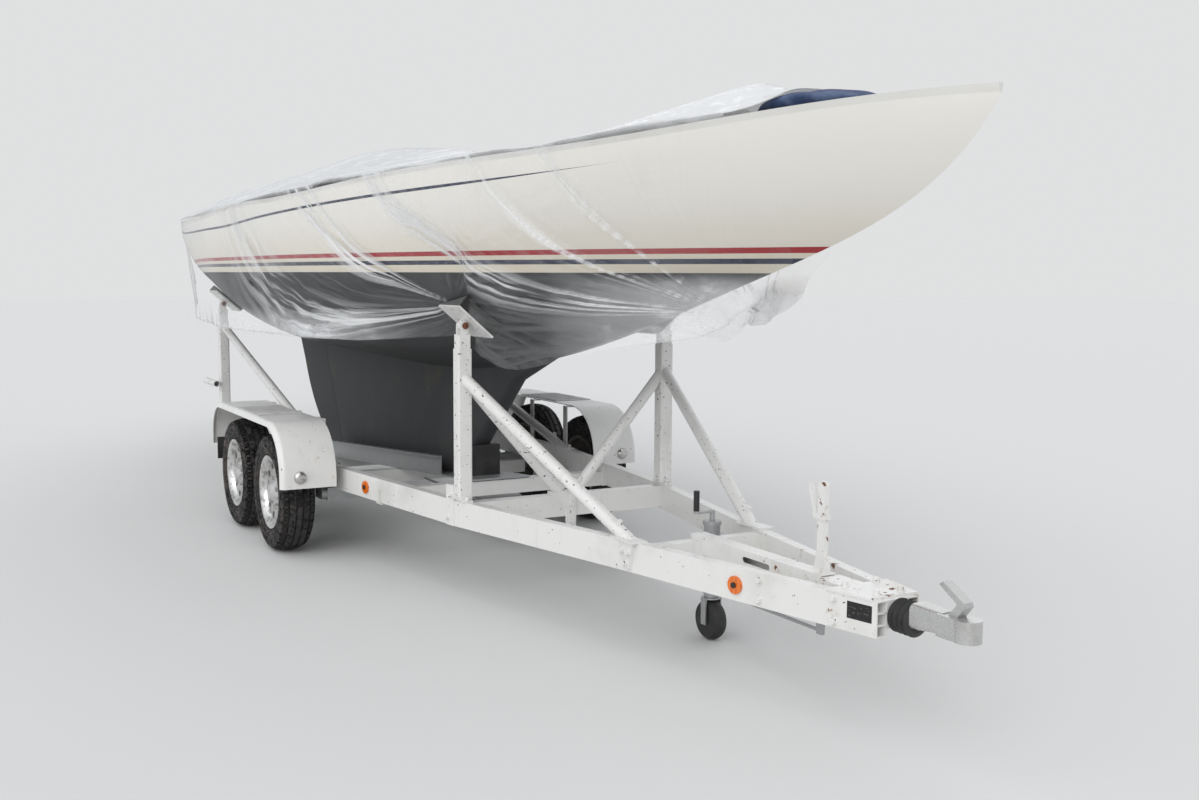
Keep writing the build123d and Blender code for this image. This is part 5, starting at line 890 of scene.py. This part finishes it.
bolt = hexagon_bolt("bolt")
bolt_zinc = galvanised("zinc_bolts", 0.36, BOLT_ZINC, 120.0, 0.9)
for side_name, side in (("port", 1.0), ("starboard", -1.0)):
    for axle_name in ("front", "rear"):
        dress([f"rim_{axle_name}_{side_name}"], alloy)
        low_corner, high_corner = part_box(f"rim_{axle_name}_{side_name}")
        hub_x = (low_corner[0] + high_corner[0]) / 2
        rim_tree = surface_tree([f"rim_{axle_name}_{side_name}"])
        spots = []
        for number in range(BOLTS_EACH):
            turn = 2 * math.pi * number / BOLTS_EACH + FIRST_BOLT
            start = Vector((hub_x + BOLT_CIRCLE * math.cos(turn), side * BESIDE,
                            HUB_Z + BOLT_CIRCLE * math.sin(turn)))
            hit = rim_tree.ray_cast(start, Vector((0.0, -side, 0.0)))[0]
            spots.append((hit - Vector((0.0, side * BOLT_BEDDED, 0.0)), (0.0, side, 0.0)))
        wheel_bolts = strewn(bolt, f"wheel_bolts_{axle_name}_{side_name}", spots, bolt_zinc)
        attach(wheel_bolts, f"{axle_name}_{side_name}_wheel")
        road_tyre = bpy.data.objects.new(f"road_tyre_{axle_name}_{side_name}", tyre.data.copy())
        road_tyre.data.transform(Matrix.Translation((hub_x, side * WHEEL_Y, HUB_Z)))
        bpy.context.scene.collection.objects.link(road_tyre)
        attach(road_tyre, f"{axle_name}_{side_name}_wheel")
        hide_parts(f"tyre_{axle_name}_{side_name}")
bpy.data.objects.remove(tyre)

# Bolts of the frame. Hexagon bolts with washers, painted over with the frame, at the gussets, the
# plates, the posts' feet and collars, the nose and the mid plate. The pads' pivot bolts have rusted.
frame_tree = surface_tree(["rails", "drawbars", "cross_beams", "frame_plates", "posts", "overrun_housing",
                           "keel_beams", "braces"])
# From the side: x, height
SIDE_BOLTS = ((3.085, 0.385), (3.125, 0.385), (3.105, 0.345), (3.700, 0.398), (3.700, 0.335),
              (2.045, 0.345), (2.072, 0.440), (3.985, 0.400), (3.985, 0.330))
# From above: x, distance from the middle
TOP_BOLTS = ((3.030, 0.278), (0.760, 0.640), (0.935, 0.640), (2.076, 0.479), (2.158, 0.479),
             (-1.391, 0.640), (-1.309, 0.640), (3.975, 0.060), (4.095, 0.045))
# From ahead: distance from the middle, height, x to look from
FORE_BOLTS = ((0.0, 0.300, 2.6), (0.0, 0.375, 2.6))
ABOVE_FRAME = 0.56
RUST_BROWN, RUST_ORANGE = (0.055, 0.026, 0.014, 1.0), (0.24, 0.085, 0.030, 1.0)
spots = []
for side in (-1.0, 1.0):
    for x, z in SIDE_BOLTS:
        hit, normal = frame_tree.ray_cast(Vector((x, side * BESIDE, z)), Vector((0.0, -side, 0.0)))[:2]
        spots.append((hit, normal))
    for x, y in TOP_BOLTS:
        hit, normal = frame_tree.ray_cast(Vector((x, side * y, ABOVE_FRAME)), Vector((0.0, 0.0, -1.0)))[:2]
        spots.append((hit, normal))
for y, z, x in FORE_BOLTS:
    hit, normal = frame_tree.ray_cast(Vector((x, y, z)), Vector((-1.0, 0.0, 0.0)))[:2]
    spots.append((hit, normal))
frame_bolts = strewn(bolt, "frame_bolts", spots, post_paint)
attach(frame_bolts, "boat_on_trailer")

rusty, tree, shader, where = material("rusty_steel", 0.82)
scale_marks = noise(tree, where, 120.0, 6.0)
tree.links.new(mixed(tree, step(tree, scale_marks, 0.35, 0.65), RUST_BROWN, RUST_ORANGE),
               shader.inputs["Base Color"])
raised(tree, shader, scale_marks, 0.0008, 0.7)

# Pads. Blocks of dense foam under black ribbed carpet, glued to the tilting plates. Their faces have
# taken the hull's shape, and their edges are pressed round.
# Posts: x, distance from the middle
POST_PLACES = ((2.117, 0.479), (-1.350, 0.640))
PIVOT_DROP = 0.060
PAD_BASE = 0.027
PAD_LONG, PAD_WIDE = 0.214, 0.194
PAD_THICK, PAD_MIDDLE = 0.020, 0.0105
PAD_SEAT = 0.0005
PAD_CLEAR = 0.0062
PAD_CUTS = 9
EDGE_PRESS = 0.004
SLOPE_STEP = 0.040
PIVOT_OUT = 0.0322
CARPET_BLACK, CARPET_TIP = (0.010, 0.010, 0.011, 1.0), (0.034, 0.033, 0.033, 1.0)
LINT = (0.115, 0.105, 0.092, 1.0)
pad_pieces, pivot_spots = [], []
for post_x, post_y in POST_PLACES:
    for side in (-1.0, 1.0):
        heights = []
        for shift in (-SLOPE_STEP, 0.0, SLOPE_STEP):
            below_hull = Vector((post_x, side * (post_y + shift), 0.3))
            heights.append(hull_tree.ray_cast(below_hull, Vector((0.0, 0.0, 1.0)))[0].z)
        lean = side * math.atan2(heights[2] - heights[0], 2 * SLOPE_STEP)
        pivot = Vector((post_x, side * post_y, heights[1] - PIVOT_DROP / math.cos(lean)))
        upward = Vector((0.0, -math.sin(lean), math.cos(lean)))
        across = Vector((0.0, math.cos(lean), math.sin(lean)))
        bpy.ops.mesh.primitive_cube_add(size=1.0, location=(0.0, 0.0, 0.0))
        pad = bpy.context.active_object
        pad.name = "pad"
        open_edit(pad)
        bpy.ops.mesh.select_all(action="SELECT")
        bpy.ops.transform.resize(value=(PAD_LONG, PAD_WIDE, PAD_THICK), center_override=(0.0, 0.0, 0.0))
        bpy.ops.transform.translate(value=(0.0, 0.0, PAD_BASE + PAD_MIDDLE))
        bpy.ops.mesh.subdivide(number_cuts=PAD_CUTS)
        bpy.ops.object.mode_set(mode="OBJECT")
        for corner in pad.data.vertices:
            flat_x, flat_y, height = corner.co
            foot = pivot + Vector((flat_x, 0.0, 0.0)) + across * flat_y + upward * PAD_BASE
            room = hull_tree.ray_cast(foot, upward)[3]
            share = (height - PAD_BASE - PAD_SEAT) / PAD_THICK
            edge = max(abs(flat_x) / (PAD_LONG / 2), abs(flat_y) / (PAD_WIDE / 2))
            pressed = EDGE_PRESS * max(0.0, (edge - 0.75) / 0.25) ** 2
            corner.co = foot + upward * (PAD_SEAT + share * (room - PAD_CLEAR - pressed - PAD_SEAT))
        pad.data.update()
        finish_modifier(pad, "BEVEL", width=0.004, segments=3, limit_method="ANGLE",
                        angle_limit=math.radians(50.0))
        open_edit(pad)
        close_edit(pad, 60.0)
        pad_pieces.append(pad)
        for along in (-1.0, 1.0):
            pivot_spots.append((pivot + Vector((along * PIVOT_OUT, 0.0, 0.0)), (along, 0.0, 0.0)))
carpet_pads = joined(pad_pieces, "carpet_pads")

carpet, tree, shader, where = material("black_carpet", 0.95)
shader.inputs["Sheen Weight"].default_value = 0.35
shader.inputs["Sheen Roughness"].default_value = 0.5
pile = noise(tree, where, 420.0, 5.0)
wale = wire(tree, "ShaderNodeTexWave", {"Vector": where, "Scale": 75.0, "Distortion": 1.5},
            bands_direction="X")
lint = step(tree, noise(tree, where, 26.0, 7.0), 0.55, 0.78)
base = mixed(tree, pile, CARPET_BLACK, CARPET_TIP)
tree.links.new(mixed(tree, math_of(tree, "MULTIPLY", lint, 0.5), base, LINT), shader.inputs["Base Color"])
ribs = math_of(tree, "ADD", pile, math_of(tree, "MULTIPLY", wale.outputs["Fac"], 0.6))
raised(tree, shader, ribs, 0.0018, 0.8)
carpet_pads.data.materials.append(carpet)
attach(carpet_pads, "boat_on_trailer")
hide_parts("pads")
pivot_bolts = strewn(bolt, "pivot_bolts", pivot_spots, rusty)
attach(pivot_bolts, "boat_on_trailer")

# Screws of the reflectors. One to each, blackened, sunk in the middle of its prism so that only the
# top of the head stands out.
REFLECTOR_X, REFLECTOR_Z = (1.300, 3.600), 0.363
SCREW_SUNK = 0.010
spots = []
reflector_tree = surface_tree(["reflectors"])
for side in (-1.0, 1.0):
    for x in REFLECTOR_X:
        start = Vector((x, side * BESIDE, REFLECTOR_Z))
        hit, normal = reflector_tree.ray_cast(start, Vector((0.0, -side, 0.0)))[:2]
        spots.append((hit - normal * SCREW_SUNK, normal))
reflector_screws = strewn(bolt, "reflector_screws", spots, black_rubber)
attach(reflector_screws, "boat_on_trailer")
bpy.data.objects.remove(bolt)

# Data plate. A thin aluminium plate, black and blank here, scratched through in places, fixed flat
# on the starboard side of the nose.
PLATE_X, PLATE_Z = (4.040, 4.128), (0.352, 0.402)
PLATE_THICK = 0.0012
PLATE_BLACK, PLATE_SCRATCH = (0.018, 0.018, 0.019, 1.0), (0.30, 0.30, 0.29, 1.0)
corners = []
for x in PLATE_X:
    for z in PLATE_Z:
        corners.append(frame_tree.ray_cast(Vector((x - 0.01, -BESIDE, z)), Vector((0.0, 1.0, 0.0)))[0])
bpy.ops.mesh.primitive_cube_add(size=1.0, location=(0.0, 0.0, 0.0))
data_plate = bpy.context.active_object
data_plate.name = "data_plate"
lean_in = math.atan2(corners[2].y - corners[0].y, corners[2].x - corners[0].x)
plate_size = (PLATE_X[1] - PLATE_X[0], PLATE_THICK, PLATE_Z[1] - PLATE_Z[0], 1.0)
data_plate.data.transform(Matrix.Diagonal(plate_size))
seat = (corners[0] + corners[1] + corners[2] + corners[3]) / 4
outward = Matrix.Rotation(lean_in, 4, "Z")
seat = seat - outward @ Vector((0.0, PLATE_THICK * 0.4, 0.0))
data_plate.data.transform(Matrix.Translation(seat) @ outward)
finish_modifier(data_plate, "BEVEL", width=0.0003, segments=2, limit_method="ANGLE")
plate_finish, tree, shader, where = material("black_data_plate", 0.35, metal=0.3)
scratch = step(tree, noise(tree, where, 60.0, 6.0, (1.0, 1.0, 3.0)), 0.55, 0.70)
tree.links.new(mixed(tree, math_of(tree, "MULTIPLY", scratch, 0.4), PLATE_BLACK, PLATE_SCRATCH),
               shader.inputs["Base Color"])
data_plate.data.materials.append(plate_finish)
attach(data_plate, "boat_on_trailer")

# Lamps. Plain round domes of dulled chrome, pressed from sheet, one on the front of each mudguard.
# Each is a ball cut in half, flattened, with a thin lip round its seat.
LAMP_X, LAMP_Y, LAMP_Z, LAMP_R = 1.1124, 0.862, 0.397, 0.030
DOME_FLATTENED = 0.62
CHROME, CHROME_SPOT = (0.60, 0.59, 0.57, 1.0), (0.20, 0.18, 0.16, 1.0)
dome_finish, tree, shader, where = material("dulled_chrome", 0.24, metal=0.85)
spotted = step(tree, noise(tree, where, 95.0, 5.0), 0.50, 0.72)
tree.links.new(mixed(tree, math_of(tree, "MULTIPLY", spotted, 0.6), CHROME, CHROME_SPOT),
               shader.inputs["Base Color"])
roughened(tree, shader, spotted, 0.18, 0.60)
raised(tree, shader, spotted, 0.0003, 0.4)
domes = []
for side in (-1.0, 1.0):
    bpy.ops.mesh.primitive_uv_sphere_add(segments=40, ring_count=20, radius=LAMP_R,
                                         location=(LAMP_X, side * LAMP_Y, LAMP_Z),
                                         rotation=(0.0, math.pi / 2, 0.0))
    dome = bpy.context.active_object
    bpy.ops.object.transform_apply(location=True, rotation=True, scale=True)
    open_edit(dome)
    bpy.ops.mesh.select_all(action="SELECT")
    bpy.ops.mesh.bisect(plane_co=(LAMP_X, 0.0, 0.0), plane_no=(1.0, 0.0, 0.0), clear_inner=True,
                        use_fill=True)
    bpy.ops.mesh.select_all(action="SELECT")
    bpy.ops.transform.resize(value=(DOME_FLATTENED, 1.0, 1.0),
                             center_override=(LAMP_X, side * LAMP_Y, LAMP_Z))
    pick_faces(dome, lambda face: face.normal.x < -0.9)
    bpy.ops.mesh.inset(thickness=-0.002, use_outset=False)
    close_edit(dome, 50.0)
    domes.append(dome)
lamp_domes = joined(domes, "lamp_domes")
lamp_domes.data.materials.append(dome_finish)
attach(lamp_domes, "boat_on_trailer")
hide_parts("lamps")

# Tarpaulin. A denim-blue sheet, rolled up loosely and left on the foredeck, half under the film. It
# is thin where the film presses on it and opens out in thick crumpled turns at its forward end.
ROLL_TURNS = 2.6
ROLL_COLUMNS, ROLL_STEPS = 90, 150
OVER_DECK = 2.5
DECK_GAP = 0.002
CLOTH_THICK = 0.0007
DENIM_DARK, DENIM_FADED = (0.022, 0.048, 0.135, 1.0), (0.085, 0.125, 0.225, 1.0)
# Roll: x, half width, height of its top
ROLL = ((3.492, 0.062, 1.858), (3.560, 0.104, 1.880), (3.650, 0.140, 1.893), (3.760, 0.130, 1.890),
        (3.850, 0.112, 1.882), (3.920, 0.084, 1.868), (3.972, 0.058, 1.850))
deck_tree = surface_tree(["deck"])
chance = random.Random(23)
dice = [chance.uniform(0.0, 6.283) for _ in range(12)]
roll_places = []
for x in np.linspace(ROLL[0][0], ROLL[-1][0], ROLL_COLUMNS):
    half, crown = eased(ROLL, x, 1), eased(ROLL, x, 2)
    deck_z = deck_tree.ray_cast(Vector((x, 0.0, OVER_DECK)), Vector((0.0, 0.0, -1.0)))[0].z + DECK_GAP
    for spot in range(ROLL_STEPS):
        share = spot / (ROLL_STEPS - 1)
        turn = 2 * math.pi * ROLL_TURNS * share + 0.6
        fold = (0.5 + 0.25 * math.sin(3 * turn + 21.0 * x + dice[0])
                + 0.25 * math.sin(5 * turn - 34.0 * x + dice[1]))
        crease = 0.5 + 0.5 * math.sin(63.0 * x + 2.0 * math.sin(turn + dice[2]) + dice[3])
        shrink = 1.0 - 0.34 * share - 0.075 * fold - 0.035 * crease * math.sin(2 * turn + dice[4]) ** 2
        y = half * shrink * math.cos(turn)
        z = (crown + deck_z) / 2 + (crown - deck_z) / 2 * shrink * math.sin(turn)
        low = deck_tree.ray_cast(Vector((x, y, OVER_DECK)), Vector((0.0, 0.0, -1.0)))[0].z + DECK_GAP
        to_end = 2 * (x - ROLL[0][0]) / (ROLL[-1][0] - ROLL[0][0]) - 1
        pull = 0.010 * math.sin(4.0 * turn + dice[5]) * to_end
        roll_places.append((min(max(x + pull, ROLL[0][0]), ROLL[-1][0]), y, max(z, low)))
mesh = bpy.data.meshes.new("rolled_tarpaulin")
mesh.from_pydata(roll_places, [], [
    (a * ROLL_STEPS + b, a * ROLL_STEPS + b + 1, (a + 1) * ROLL_STEPS + b + 1, (a + 1) * ROLL_STEPS + b)
    for a in range(ROLL_COLUMNS - 1) for b in range(ROLL_STEPS - 1)])
rolled_tarpaulin = bpy.data.objects.new("rolled_tarpaulin", mesh)
bpy.context.scene.collection.objects.link(rolled_tarpaulin)
mesh.shade_smooth()
finish_modifier(rolled_tarpaulin, "SOLIDIFY", thickness=CLOTH_THICK, offset=0.0)
denim, tree, shader, where = material("denim_blue_tarpaulin", 0.62)
faded = step(tree, noise(tree, where, 16.0, 7.0), 0.40, 0.72)
tree.links.new(mixed(tree, faded, DENIM_DARK, DENIM_FADED), shader.inputs["Base Color"])
creases = noise(tree, where, 38.0, 6.0, (1.0, 1.6, 1.6), 0.62)
weave = wire(tree, "ShaderNodeTexVoronoi", {"Vector": where, "Scale": 520.0, "Randomness": 0.2}, feature="F1")
cloth_relief = math_of(tree, "ADD", creases, math_of(tree, "MULTIPLY", weave.outputs["Distance"], 0.06))
raised(tree, shader, cloth_relief, 0.012, 0.8)
rolled_tarpaulin.data.materials.append(denim)
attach(rolled_tarpaulin, "boat_on_trailer")
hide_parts("blue_tarpaulin")

low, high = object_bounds()
